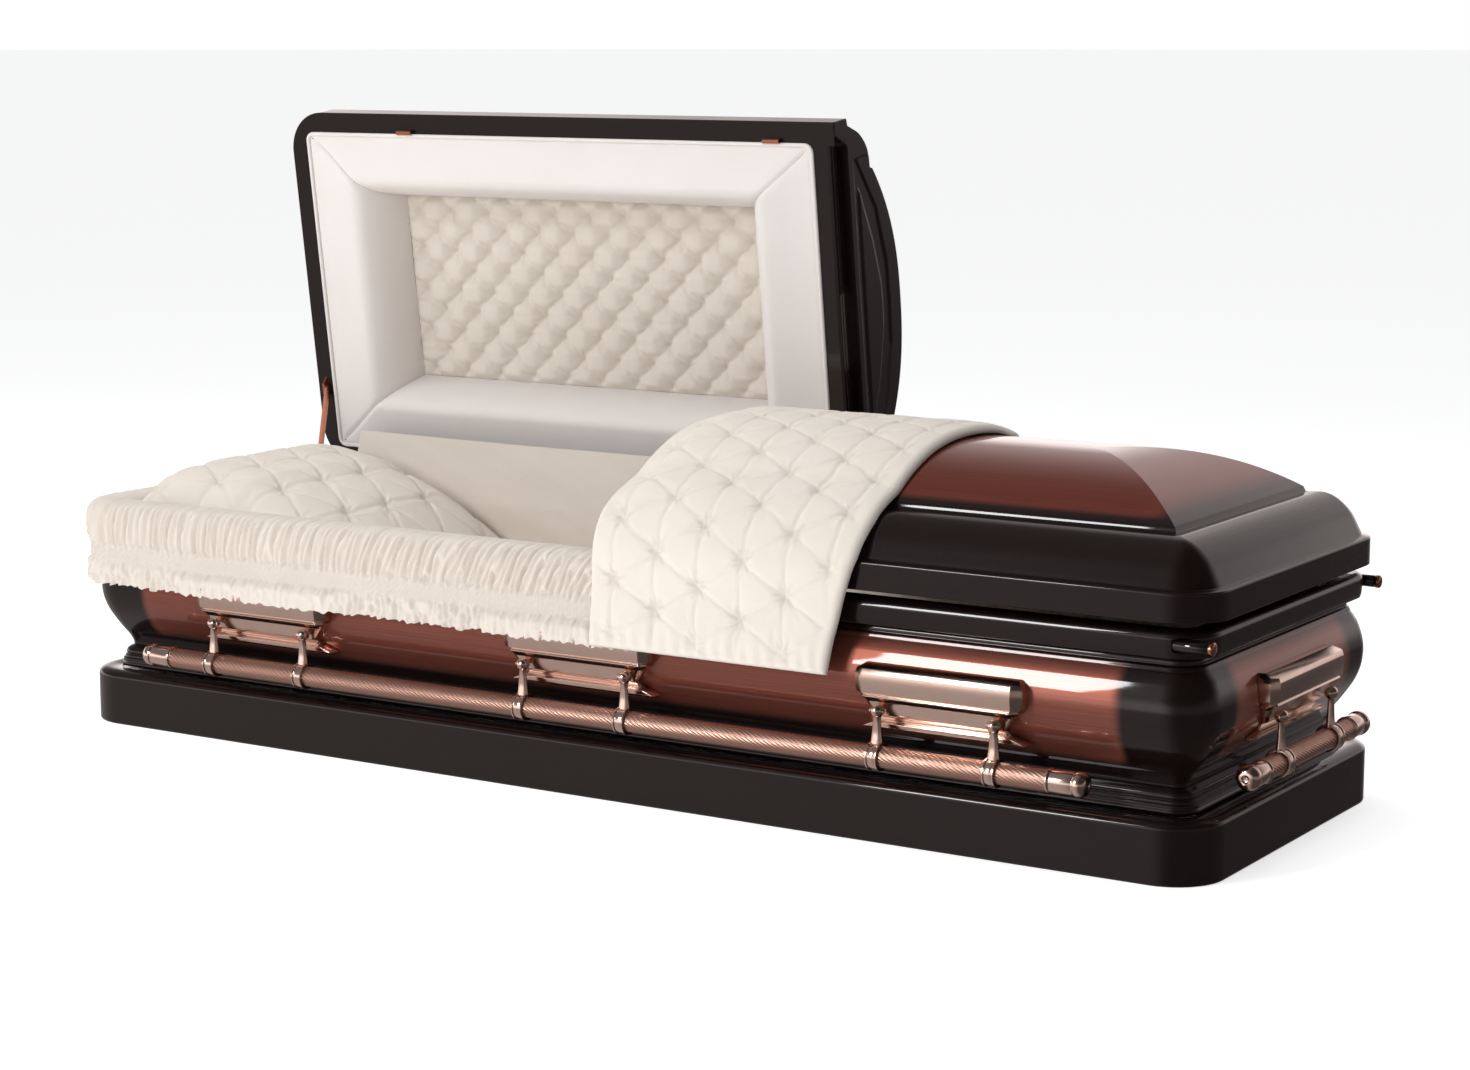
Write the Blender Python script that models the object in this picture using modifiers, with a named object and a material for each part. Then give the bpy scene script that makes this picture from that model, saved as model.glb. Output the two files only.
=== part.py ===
# Funeral casket with a split lid, swing bar handles and a soft interior
import bpy
import bmesh
from math import cos, pi, radians, sin, sqrt
from mathutils import Matrix, Vector

# body and lids, metres; an inset is measured inward from the outer face of the lids
LID_HALF_LENGTH = 1.0532
LID_HALF_WIDTH = 0.3343
LID_CORNER = 0.0736
SPLIT_X = 0.1120
SPLIT_GAP = 0.0030
SHEET = 0.0012
GAP = 0.0004
CORNER_STEPS = 4

# the body from the floor up: plinth, moulding, shell and rim stand on each other
PLINTH_SIDE_REACH = 0.0083
PLINTH_END_REACH = 0.0018
PLINTH_HEIGHT = 0.0925
PLINTH_EDGE = 0.0110
PLINTH_FOOT = 0.0020
PLINTH_LIP = 0.0750
MOULDING_INNER_INSET = 0.0640
RIM_HEIGHT = 0.0388
RIM_INNER_INSET = 0.0473
LID_CLEARANCE = 0.0137

# sections as (inset, height above the foot of the piece)
MOULDING_KEYS = ((0.0372, 0.0000), (0.0372, 0.0046), (0.0385, 0.0081), (0.0385, 0.0131), (0.0420, 0.0146),
                 (0.0420, 0.0181), (0.0452, 0.0196), (0.0440, 0.0236), (0.0455, 0.0286), (0.0515, 0.0326),
                 (0.0592, 0.0352))
SHELL_BULGE_KEYS = ((0.0578, 0.0000), (0.0566, 0.0065), (0.0500, 0.0185), (0.0405, 0.0300), (0.0260, 0.0500),
                    (0.0147, 0.0688), (0.0075, 0.0895), (0.0053, 0.1145), (0.0088, 0.1355), (0.0164, 0.1568))
SHELL_NECK_KEYS = ((0.0235, 0.1675), (0.0275, 0.1725), (0.0290, 0.1780), (0.0330, 0.1805), (0.0330, 0.1933))
RIM_FACE_KEYS = ((0.0125, 0.0000), (0.0108, 0.0068), (0.0100, 0.0178), (0.0097, 0.0288), (0.0118, 0.0350))
RIM_EDGE_INSET = 0.0180
RIM_FOOT_INSET = 0.0305

# lid section: inset against height above the underside
BAND_HEIGHT = 0.0425
BAND_EDGE = 0.0016
SHOULDER_KEYS = ((0.0120, 0.0447), (0.0130, 0.0452), (0.0180, 0.0560), (0.0300, 0.0790), (0.0449, 0.0950),
                 (0.0600, 0.1050), (0.0750, 0.1095), (0.0890, 0.1108), (0.0932, 0.1110))
DOME_FOOT_INSET = 0.0962
DOME_FOOT_HEIGHT = 0.1190
CROWN_HEIGHT = 0.1895
DOME_POWER = 2.4
DOME_STEPS = 7
CROWN_STRIP = 0.0040
FLANGE_WIDTH = 0.0400
FLANGE_WIDTH_SPLIT = 0.0470
REBATE_WIDTH = 0.0160
REBATE_HEIGHT = 0.0400
REBATE_SIDE_INSET = 0.0313

# lid hinges along the back edge
HINGE_INSET = 0.0008
HINGE_DROP = 0.0035
HINGE_RADIUS = 0.0030
HINGE_LEAF = 0.0250
HINGE_LEAF_KEYS = ((0.0100, 0.0080), (0.0000, 0.0016), (0.0000, 0.0000), (0.0150, 0.0000))
HINGE_END_INSET = 0.1232
HINGE_SPLIT_MARGIN = 0.0350
OPEN_ANGLE = 82.3

# tubes let into the rim at the foot-end corners
TUBE_INSET = 0.0178
TUBE_DROP = 0.0190
TUBE_RADIUS = 0.0092
TUBE_LENGTH = 0.0520
TUBE_OVERHANG = 0.0052
TUBE_CAP_LENGTH = 0.0080
TUBE_CAP_RADIUS = 0.0100
TUBE_CAP_KEYS = ((0.0025, 0.0000), (0.0000, 0.0020), (0.0000, 0.0066), (0.0010, 0.0076))
TUBE_STEPS = 14
RECESS_END_GAP = 0.0020
RECESS_OVERRUN = 0.0300

# handles: a pivot reach is measured outward from the lid face
LUG_END_INSET = 0.4147
LUG_SEAT = 0.0009
ARM_SPREAD = 0.0960
ARM_LENGTH = 0.0680
SIDE_PIVOT_REACH = 0.0190
SIDE_PIVOT_HEIGHT = 0.0740
END_PIVOT_REACH = 0.0135
END_PIVOT_HEIGHT = 0.0795
BAR_RADIUS = 0.0165
SIDE_BAR_OVERHANG = 0.0885
END_BAR_OVERHANG = 0.0645
TIP_LENGTH = 0.0620
TIP_RADIUS = 0.0190
TIP_KEYS = ((0.0090, 0.0000), (0.0040, 0.0080), (0.0000, 0.0120), (0.0000, 0.0160), (0.0020, 0.0180),
            (0.0000, 0.0200))
TIP_ROOT = 0.0020
BALL_RADIUS = 0.0092
STEM_TOP_RADIUS = 0.0045
STEM_FOOT_RADIUS = 0.0085
STEM_FLATNESS = 0.4500
ROUND_STEPS = 10
COLLAR_WALL = 0.0038
COLLAR_WIDTH = 0.0200

# lug section as (height above the pivot, half length, face, corner cut);
# the band's face is a reach beyond the lid face, the plate's is how far it lies behind the pivot
LUG_BAND_KEYS = ((0.0665, 0.1265, 0.0020, 0.0040), (0.0610, 0.1340, 0.0190, 0.0120),
                 (0.0540, 0.1370, 0.0215, 0.0150), (0.0400, 0.1380, 0.0225, 0.0160),
                 (0.0250, 0.1360, 0.0205, 0.0140), (0.0225, 0.1290, 0.0160, 0.0100),
                 (0.0195, 0.1320, 0.0185, 0.0120))
LUG_PLATE_KEYS = ((0.0110, 0.1240, 0.0105, 0.0080), (0.0010, 0.1160, 0.0130, 0.0060),
                  (-0.0095, 0.1080, 0.0160, 0.0050), (-0.0140, 0.1060, 0.0270, 0.0030),
                  (-0.0200, 0.1080, 0.0290, 0.0030), (-0.0230, 0.1180, 0.0220, 0.0030),
                  (-0.0300, 0.1350, 0.0235, 0.0040), (-0.0330, 0.1350, 0.0290, 0.0040))

# furnishings of the head lid
BORDER_INSET = 0.0405
PUFF_SPLIT_INSET = 0.0475
PUFF_WIDTH = 0.1230
PUFF_WIDTH_END = 0.1500
PUFF_DEPTH = 0.0830
PUFF_KEYS = ((0.00, 0.0015), (0.10, -0.0040), (0.35, -0.0070), (0.60, -0.0090), (0.75, -0.0040),
             (0.87, 0.0160), (0.95, 0.0450), (1.00, 0.0830), (0.90, 0.0800), (0.70, 0.0600), (0.35, 0.0350),
             (0.06, 0.0200))
PANEL_THICKNESS = 0.0120
PANEL_GAP = 0.0020
PANEL_SLOPE = 0.0060
PIN_HEAD_INSET = 0.2687
PIN_SPLIT_INSET = 0.1205
PIN_INSET = 0.0330
PIN_LENGTH = 0.0320
PIN_RADIUS = 0.0045
PIN_GAP = 0.0010
STAY_END_INSET = 0.0202
STAY_BACK_INSET = 0.1483
STAY_BRACKET_DROP = 0.0115
STAY_BRACKET_HALF = 0.0200
STAY_PIVOT_DROP = 0.0068
STAY_THICKNESS = 0.0050
STAY_HALF_WIDTH = 0.0052
STAY_LENGTH = 0.1250
STAY_HANG_ANGLE = 12.0

# furnishings of the body
MATTRESS_THICKNESS = 0.0743
MATTRESS_EDGE = 0.0080
MATTRESS_SIDE_GAP = 0.0030
MATTRESS_FOOT_TUCK = 0.0030
MATTRESS_TOP_TUCK = 0.0090
LINING_INSET = 0.0608
LINING_DROP = 0.0280
CLOTH = 0.0040
CLOTH_GAP = 0.0010
APRON_RISE = 0.0855
APRON_LEAN_INSET = 0.0443
APRON_HEAD_INSET = 0.1232
APRON_SPLIT_GAP = 0.0220
SKIRT_GAP = 0.0015
SKIRT_FOOT_GAP = 0.0070
SKIRT_BACK_GAP = 0.0943
SKIRT_OUTER_KEYS = ((-0.0100, -0.0610), (-0.0105, -0.0110), (-0.0060, 0.0150), (0.0060, 0.0238),
                    (0.0300, 0.0252), (0.0540, 0.0238), (0.0635, 0.0130), (0.0640, -0.0250))
SKIRT_INNER_KEYS = ((0.0490, -0.0250), (0.0490, 0.0030), (0.0120, 0.0030), (0.0042, -0.0028))
PILLOW_HEAD_GAP = 0.0045
PILLOW_LENGTH = 0.4550
PILLOW_SIDE_GAP = 0.0055
PILLOW_CORNER = 0.0600
PILLOW_KEYS = ((0.0000, 0.020, 0.0), (0.0300, 0.0, 0.0), (0.1300, 0.0, 0.3), (0.1800, 0.012, 0.6),
               (0.2130, 0.045, 0.9), (0.2270, 0.100, 1.0))
PILLOW_LEAN = 0.0600
THROW_OVERHANG = 0.0730
THROW_WIDTH = 0.4430
THROW_BACK_INSET = 0.1743
THROW_SHOULDER_RUN = 0.0240
THROW_THICKNESS = 0.0180
THROW_LIFT = 0.0020
THROW_HANG_REACH = 0.0132
THROW_DOME_STEPS = 8
THROW_SHOULDER_KEYS = ((0.0723, 0.1183), (0.0443, 0.1043), (0.0243, 0.0863), (0.0053, 0.0643),
                       (-0.0077, 0.0403), (-0.0125, 0.0153))

for stale in list(bpy.data.objects):
    bpy.data.objects.remove(stale, do_unlink=True)

casketCollection = bpy.data.collections.new("funeral_casket")
bpy.context.scene.collection.children.link(casketCollection)
cutterCollection = bpy.data.collections.new("cutters")
bpy.context.scene.collection.children.link(cutterCollection)


def makeMaterial(name, colour, roughness, metallic):
    material = bpy.data.materials.new(name)
    material.use_nodes = True
    shader = material.node_tree.nodes["Principled BSDF"]
    shader.inputs["Base Color"].default_value = (*colour, 1.0)
    shader.inputs["Roughness"].default_value = roughness
    shader.inputs["Metallic"].default_value = metallic
    material.diffuse_color = (*colour, 1.0)
    return material


lacquer = makeMaterial("ebony_copper_lacquered_steel", (0.030, 0.016, 0.014), 0.15, 0.3)
copper = makeMaterial("rose_copper_plated_hardware", (0.75, 0.45, 0.36), 0.18, 1.0)
satinCopper = makeMaterial("satin_copper_tube", (0.42, 0.25, 0.20), 0.35, 1.0)
blackTube = makeMaterial("black_lacquered_tube", (0.012, 0.010, 0.010), 0.12, 0.2)
crepe = makeMaterial("smooth_crepe_cloth", (0.80, 0.76, 0.73), 0.85, 0.0)
velvet = makeMaterial("tufted_velvet_cloth", (0.78, 0.74, 0.67), 0.90, 0.0)
steel = makeMaterial("bright_steel", (0.60, 0.60, 0.62), 0.25, 1.0)

# heights that follow from the stack
mouldingBottom = PLINTH_HEIGHT + GAP
shellBottom = mouldingBottom + MOULDING_KEYS[-1][1] + GAP
shellTop = shellBottom + SHELL_NECK_KEYS[-1][1]
rimBottom = shellTop + GAP
rimTop = rimBottom + RIM_HEIGHT
lidUnderside = rimTop + LID_CLEARANCE
rebateHalf = LID_HALF_WIDTH - REBATE_SIDE_INSET


def place(item, data, material, location=(0, 0, 0), rotation=(0, 0, 0), parent=None,
          collection=casketCollection):
    if not data.materials:
        data.materials.append(material)
    item.location = location
    item.rotation_euler = rotation
    item.parent = parent
    collection.objects.link(item)
    return item


def loftMesh(name, rings, closed=False, origin=(0, 0, 0)):
    # closed body through rings of unlike sections, each ring a list of groups of points
    bm = bmesh.new()
    placed = []
    for ring in rings:
        placed.append([[bm.verts.new(Vector(p) - Vector(origin)) for p in group] for group in ring])
    for first, second in zip(placed[:-1], placed[1:]):
        bridge(bm, first, second)
    if closed:
        bridge(bm, placed[-1], placed[0])
    else:
        bm.faces.new([v for group in placed[0] for v in group])
        bm.faces.new([v for group in placed[-1] for v in group])
    bmesh.ops.recalc_face_normals(bm, faces=bm.faces)
    mesh = bpy.data.meshes.new(name)
    bm.to_mesh(mesh)
    bm.free()
    return mesh


def bridge(bm, first, second):
    # faces between two rings; a group that shrinks to one point is closed with a fan
    for index, (p, q) in enumerate(zip(first, second)):
        if len(p) == len(q):
            for k in range(len(p) - 1):
                bm.faces.new((p[k], p[k + 1], q[k + 1], q[k]))
        elif len(q) == 1:
            for k in range(len(p) - 1):
                bm.faces.new((p[k], p[k + 1], q[0]))
        else:
            for k in range(len(q) - 1):
                bm.faces.new((p[0], q[k + 1], q[k]))
        following = (index + 1) % len(first)
        bm.faces.new((p[-1], first[following][0], second[following][0], q[-1]))


def loft(name, rings, material, closed=False, parent=None, anchor=(0, 0, 0)):
    # with a parent, the object's origin lies on the parent's axis, at the anchor
    mesh = loftMesh(name, rings, closed, anchor)
    return place(bpy.data.objects.new(name, mesh), mesh, material, parent=parent)


def turned(name, profile, material, steps=ROUND_STEPS, ring=False, **placing):
    # solid of revolution about its own Z; profile of (radius, height) from top to bottom
    count = len(profile)
    edges = [(k, (k + 1) % count) for k in range(count if ring else count - 1)]
    mesh = bpy.data.meshes.new(name)
    mesh.from_pydata([(radius, 0.0, height) for radius, height in profile], edges, [])
    item = place(bpy.data.objects.new(name, mesh), mesh, material, **placing)
    turn = item.modifiers.new("turn", "SCREW")
    turn.steps = steps
    turn.render_steps = steps
    turn.use_smooth_shade = True
    turn.use_merge_vertices = True
    turn.merge_threshold = 0.0001
    return item


def extruded(name, outline, thickness, material, **placing):
    # flat outline in its own XY plane, drawn out both ways along its own Z
    curve = bpy.data.curves.new(name, "CURVE")
    curve.dimensions = "2D"
    curve.fill_mode = "BOTH"
    curve.extrude = thickness / 2
    spline = curve.splines.new("POLY")
    spline.points.add(len(outline) - 1)
    for point, (u, v) in zip(spline.points, outline):
        point.co = (u, v, 0.0, 1.0)
    spline.use_cyclic_u = True
    return place(bpy.data.objects.new(name, curve), curve, material, **placing)


# an outline of (y, z) drawn out along X, and a turned piece laid along X
alongX = (pi / 2, 0, pi / 2)
axisAlongX = (0, pi / 2, 0)


def axis(name, location, rotation=(0, 0, 0)):
    # empty on a joint's axis, the parent of everything that turns about it
    empty = bpy.data.objects.new(name, None)
    empty.location = location
    empty.rotation_euler = rotation
    casketCollection.objects.link(empty)
    return empty


def cornerGroup(cx, cy, radius, start, z):
    # one rounded corner as a run of points, or a single point when it is sharp
    if radius < 0.002:
        reach = max(radius, 0.0) * sqrt(2)
        return [(cx + reach * cos(radians(start + 45)), cy + reach * sin(radians(start + 45)), z)]
    angles = [radians(start + 90 * step / CORNER_STEPS) for step in range(CORNER_STEPS + 1)]
    return [(cx + radius * cos(angle), cy + radius * sin(angle), z) for angle in angles]


def boxRing(low, high, half, radius, z):
    # closed rounded rectangle from low to high along X, half wide each way
    return [cornerGroup(high - radius, -half + radius, radius, -90, z),
            cornerGroup(high - radius, half - radius, radius, 0, z),
            cornerGroup(low + radius, half - radius, radius, 90, z),
            cornerGroup(low + radius, -half + radius, radius, 180, z)]


def fullRing(inset, z, endInset=None):
    # the casket's outline at one height
    a = LID_HALF_LENGTH - (inset if endInset is None else endInset)
    return boxRing(-a, a, LID_HALF_WIDTH - inset, max(LID_CORNER - inset, 0.0), z)


def lidRing(side, split, inset, z, rebate=None, square=False):
    # outline of one lid, cut straight at the split; side is +1 for the foot lid
    a = LID_HALF_LENGTH - inset
    b = LID_HALF_WIDTH - inset
    r = 0.0 if square else max(LID_CORNER - inset, 0.0)
    front = [(side * x, y, h) for x, y, h in cornerGroup(a - r, -b + r, r, -90, z)]
    back = [(side * x, y, h) for x, y, h in cornerGroup(a - r, b - r, r, 0, z)]
    if rebate:
        width, half = rebate
        inner = split + side * width
        rebateBack = [(split, half, z), (inner, half, z)]
        rebateFront = [(inner, -half, z), (split, -half, z)]
    else:
        half = min(rebateHalf, 0.9 * b)
        rebateBack = [(split, half, z)]
        rebateFront = [(split, -half, z)]
    return [[(split, -b, z)], front, back, [(split, b, z)], rebateBack, rebateFront]


def smoothKeys(keys, steps):
    # curve through the keys, with the given number of steps between each pair
    points = []
    for index in range(len(keys) - 1):
        p0 = Vector(keys[max(index - 1, 0)])
        p1 = Vector(keys[index])
        p2 = Vector(keys[index + 1])
        p3 = Vector(keys[min(index + 2, len(keys) - 1)])
        for step in range(steps):
            t = step / steps
            bend = 2 * p0 - 5 * p1 + 4 * p2 - p3
            twist = 3 * p1 - p0 - 3 * p2 + p3
            points.append(tuple(0.5 * (2 * p1 + (p2 - p0) * t + bend * t * t + twist * t * t * t)))
    points.append(tuple(keys[-1]))
    return points


def offsetPath(path, distance):
    # the same open path moved sideways by a distance, to its left
    moved = []
    for index, point in enumerate(path):
        before = Vector(path[max(index - 1, 0)])
        after = Vector(path[min(index + 1, len(path) - 1)])
        run = (after - before).normalized()
        moved.append((point[0] - run[1] * distance, point[1] + run[0] * distance))
    return moved


def raised(keys, base):
    return [(inset, base + height) for inset, height in keys]


# plinth: a sheet tray with vertical faces, a rounded top edge and a lip that carries the moulding
plinthSections = [(-PLINTH_FOOT, 0.0), (0.0, 1.5 * PLINTH_FOOT)]
for step in range(5):
    angle = radians(90 * step / 4)
    edgeZ = PLINTH_HEIGHT - PLINTH_EDGE * (1 - sin(angle))
    plinthSections.append((-1.6 * PLINTH_EDGE * (1 - cos(angle)), edgeZ))
lipBottom = PLINTH_HEIGHT - SHEET
plinthSections += [(-PLINTH_LIP, PLINTH_HEIGHT), (-PLINTH_LIP, lipBottom), (-1.3 * PLINTH_EDGE, lipBottom),
                   (-1.5 * SHEET, PLINTH_HEIGHT - PLINTH_EDGE), (-2 * PLINTH_FOOT, SHEET)]
plinthRings = [fullRing(-PLINTH_SIDE_REACH - out, z, -PLINTH_END_REACH - out) for out, z in plinthSections]
loft("plinth", plinthRings, lacquer)

# base moulding: a frame with a roll and two steps between the plinth and the shell
mouldingSection = raised(MOULDING_KEYS, mouldingBottom)
mouldingTop = mouldingSection[-1][1]
mouldingSection += [(MOULDING_INNER_INSET, mouldingTop), (MOULDING_INNER_INSET, mouldingBottom)]
loft("base_moulding", [fullRing(inset, z) for inset, z in mouldingSection], lacquer, closed=True)

# body shell: thin sheet bulging between the moulding and the rim, open at the top
shellOuter = raised(smoothKeys(SHELL_BULGE_KEYS, 2) + list(SHELL_NECK_KEYS), shellBottom)
shellFloor = shellBottom + SHEET
shellCoarse = raised(SHELL_BULGE_KEYS + SHELL_NECK_KEYS, shellBottom)
shellInner = [point for point in offsetPath(shellCoarse, -SHEET)[1:-1] if point[1] > shellFloor]
shellInner.insert(0, (shellOuter[0][0] + SHEET, shellFloor))
shellInner.append((shellOuter[-1][0] + SHEET, shellTop))
shellRings = [fullRing(inset, z) for inset, z in shellOuter + shellInner[::-1]]
loft("body_shell", shellRings, lacquer)


def shellInset(z):
    # inset of the shell's outer face at a height
    for (lowInset, lowZ), (highInset, highZ) in zip(shellOuter[:-1], shellOuter[1:]):
        if lowZ <= z <= highZ:
            return lowInset + (highInset - lowInset) * (z - lowZ) / (highZ - lowZ)
    return shellOuter[-1][0]


# body rim: a band all round the mouth with a rounded upper edge
rimSection = [(RIM_FOOT_INSET, rimBottom)] + raised(RIM_FACE_KEYS, rimBottom)
rimSection += [(RIM_EDGE_INSET, rimTop), (RIM_INNER_INSET, rimTop), (RIM_INNER_INSET, rimBottom)]
bodyRim = loft("body_rim", [fullRing(inset, z) for inset, z in rimSection], lacquer, closed=True)

# corner tubes: each lies in a round recess of the rim, with a copper cap on its end
tubeEnd = LID_HALF_LENGTH - TUBE_OVERHANG
tubeZ = rimTop - TUBE_DROP
tubeProfile = ((0.0, TUBE_LENGTH), (TUBE_RADIUS, TUBE_LENGTH), (TUBE_RADIUS, 0.0), (0.0, 0.0))
capProfile = [(TUBE_CAP_RADIUS - cut, TUBE_CAP_LENGTH - back) for cut, back in TUBE_CAP_KEYS]
capProfile = [(0.0, TUBE_CAP_LENGTH)] + capProfile + [(0.0, capProfile[-1][1])]
recessRadius = TUBE_CAP_RADIUS + GAP
recessFoot = -TUBE_LENGTH - RECESS_END_GAP
recessProfile = ((0.0, RECESS_OVERRUN), (recessRadius, RECESS_OVERRUN), (recessRadius, recessFoot),
                 (0.0, recessFoot))
for label, sign in (("front", -1), ("back", 1)):
    tubeY = sign * (LID_HALF_WIDTH - TUBE_INSET)
    recess = turned("tube_recess_" + label, recessProfile, lacquer, steps=TUBE_STEPS,
                    location=(tubeEnd, tubeY, tubeZ), rotation=axisAlongX, collection=cutterCollection)
    recess.hide_render = True
    recess.display_type = "WIRE"
    cut = bodyRim.modifiers.new("recess_" + label, "BOOLEAN")
    cut.operation = "DIFFERENCE"
    cut.solver = "EXACT"
    cut.object = recess
    turned("corner_tube_" + label, tubeProfile, blackTube, steps=TUBE_STEPS,
           location=(tubeEnd - TUBE_LENGTH, tubeY, tubeZ), rotation=axisAlongX)
    turned("corner_tube_cap_" + label, capProfile, copper, steps=TUBE_STEPS,
           location=(tubeEnd, tubeY, tubeZ), rotation=axisAlongX)


def domeHeight(inset):
    # height of the domed panel above the lid's underside
    reach = (LID_HALF_WIDTH - inset) / (LID_HALF_WIDTH - DOME_FOOT_INSET)
    return DOME_FOOT_HEIGHT + (CROWN_HEIGHT - DOME_FOOT_HEIGHT) * (1 - abs(reach) ** DOME_POWER)


# lid section from the band to the crown, the same on the sides and the end
lidSection = [(0.0, BAND_HEIGHT), (BAND_EDGE, BAND_HEIGHT + BAND_EDGE)] + list(SHOULDER_KEYS)
lidSection.append((DOME_FOOT_INSET, DOME_FOOT_HEIGHT))
crownInset = LID_HALF_WIDTH - CROWN_STRIP
for step in range(1, DOME_STEPS + 1):
    inset = DOME_FOOT_INSET + (crownInset - DOME_FOOT_INSET) * (step / DOME_STEPS) ** 1.4
    lidSection.append((inset, domeHeight(inset)))
lidInner = offsetPath(lidSection, -SHEET)
lidInner[0] = (SHEET, BAND_HEIGHT)
lidInner[-1] = (crownInset, lidSection[-1][1] - SHEET)

hingePoint = Vector((0.0, LID_HALF_WIDTH - HINGE_INSET, lidUnderside - HINGE_DROP))
headLid = axis("head_lid_axis", hingePoint, (radians(-OPEN_ANGLE), 0, 0))
footLid = axis("foot_lid_axis", hingePoint)


def lidShell(name, side, split, rebated, parent):
    base = lidUnderside
    innerSplit = split + side * SHEET
    mouth = split + side * FLANGE_WIDTH_SPLIT
    cutAway = (REBATE_WIDTH, rebateHalf) if rebated else None
    cutInner = (REBATE_WIDTH, rebateHalf + SHEET) if rebated else None
    rings = [lidRing(side, split, inset, base + z) for inset, z in reversed(lidSection)]
    if rebated:
        rings.append(lidRing(side, split, 0.0, base + REBATE_HEIGHT))
        rings.append(lidRing(side, split, 0.0, base + REBATE_HEIGHT, cutAway))
    rings.append(lidRing(side, split, 0.0, base, cutAway))
    rings.append(lidRing(side, mouth, FLANGE_WIDTH, base, square=True))
    rings.append(lidRing(side, mouth, FLANGE_WIDTH, base + SHEET, square=True))
    rings.append(lidRing(side, innerSplit, SHEET, base + SHEET, cutInner))
    if rebated:
        rings.append(lidRing(side, innerSplit, SHEET, base + REBATE_HEIGHT + SHEET, cutInner))
        rings.append(lidRing(side, innerSplit, SHEET, base + REBATE_HEIGHT + SHEET))
    rings += [lidRing(side, innerSplit, inset, base + z) for inset, z in lidInner]
    return loft(name, rings, lacquer, parent=parent, anchor=hingePoint)


lidShell("head_lid_shell", -1, SPLIT_X, True, headLid)
lidShell("foot_lid_shell", 1, SPLIT_X + SPLIT_GAP, False, footLid)

# long hinges: a barrel along the joint axis on a leaf that lies on the rim
leafEdge = -HINGE_LEAF
leafBottom = rimTop + GAP - hingePoint.z
hingeReach = LID_HALF_LENGTH - HINGE_END_INSET
hingeOutline = [(HINGE_RADIUS * cos(radians(a)), HINGE_RADIUS * sin(radians(a))) for a in range(-60, 181, 40)]
hingeOutline += [(leafEdge + run, leafBottom + height) for run, height in HINGE_LEAF_KEYS]
for label, low, high in (("head", -hingeReach, SPLIT_X - HINGE_SPLIT_MARGIN),
                         ("foot", SPLIT_X + SPLIT_GAP + HINGE_SPLIT_MARGIN, hingeReach)):
    extruded(label + "_lid_hinge", hingeOutline, high - low, steel, rotation=alongX,
             location=((low + high) / 2, hingePoint.y, hingePoint.z))


def puffRing(share, depth, grow=0.0):
    # rectangle round the inside of the head lid, part of the way from the border to the panel
    y = LID_HALF_WIDTH - BORDER_INSET - PUFF_WIDTH * share + grow
    low = -LID_HALF_LENGTH + BORDER_INSET + PUFF_WIDTH_END * share - grow
    high = SPLIT_X - PUFF_SPLIT_INSET - PUFF_WIDTH_END * share + grow
    z = lidUnderside + depth
    return [[(low, -y, z)], [(high, -y, z)], [(high, y, z)], [(low, y, z)]]


# padded frame of four rolls mitred at the corners, round a tufted panel
puffScale = PUFF_DEPTH / max(depth for share, depth in PUFF_KEYS)
puffRings = [puffRing(share, depth * puffScale) for share, depth in PUFF_KEYS]
loft("lid_puff_frame", puffRings, crepe, closed=True, parent=headLid, anchor=hingePoint)
panelBottom = PUFF_DEPTH + PANEL_GAP
panelLevels = ((-PANEL_SLOPE, panelBottom), (PANEL_GAP, panelBottom + 0.25 * PANEL_THICKNESS),
               (PANEL_GAP, panelBottom + PANEL_THICKNESS))
loft("lid_tufted_panel", [puffRing(1.0, depth, grow) for grow, depth in panelLevels], velvet, parent=headLid,
     anchor=hingePoint)

# latch pins on the underside of the head lid, near its front edge
pinHalf = PIN_LENGTH / 2
pinProfile = ((0.0, pinHalf), (PIN_RADIUS, pinHalf), (PIN_RADIUS, -pinHalf), (0.0, -pinHalf))
pinY = -(LID_HALF_WIDTH - PIN_INSET)
pinZ = lidUnderside - PIN_RADIUS - PIN_GAP
for label, x in (("head", -LID_HALF_LENGTH + PIN_HEAD_INSET), ("foot", SPLIT_X - PIN_SPLIT_INSET)):
    turned("latch_pin_" + label, pinProfile, copper, location=Vector((x, pinY, pinZ)) - hingePoint,
           rotation=axisAlongX, parent=headLid)

# lid stay at the head end: a bracket under the lid and an arm that hangs from its pivot
stayX = -LID_HALF_LENGTH + STAY_END_INSET
stayCentre = Vector((stayX, LID_HALF_WIDTH - STAY_BACK_INSET, lidUnderside)) - hingePoint
bracketFoot = 0.45 * STAY_BRACKET_HALF
bracketOutline = [(-STAY_BRACKET_HALF, -GAP), (-bracketFoot, -STAY_BRACKET_DROP),
                  (bracketFoot, -STAY_BRACKET_DROP), (STAY_BRACKET_HALF, -GAP)]
extruded("lid_stay_bracket", bracketOutline, STAY_THICKNESS, copper, location=stayCentre, rotation=alongX,
         parent=headLid)
stayPivot = stayCentre - Vector((0, 0, STAY_PIVOT_DROP))
stayAxis = axis("lid_stay_axis", stayPivot, (radians(OPEN_ANGLE - STAY_HANG_ANGLE), 0, 0))
stayAxis.parent = headLid
armHead = [radians(30 * k) for k in range(7)]
armOutline = [(STAY_HALF_WIDTH * cos(angle), STAY_HALF_WIDTH * sin(angle)) for angle in armHead]
armOutline += [(-STAY_HALF_WIDTH, -STAY_LENGTH), (STAY_HALF_WIDTH, -STAY_LENGTH)]
extruded("lid_stay_arm", armOutline, STAY_THICKNESS, copper, location=(STAY_THICKNESS + GAP, 0, 0),
         rotation=alongX, parent=stayAxis)


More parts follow.
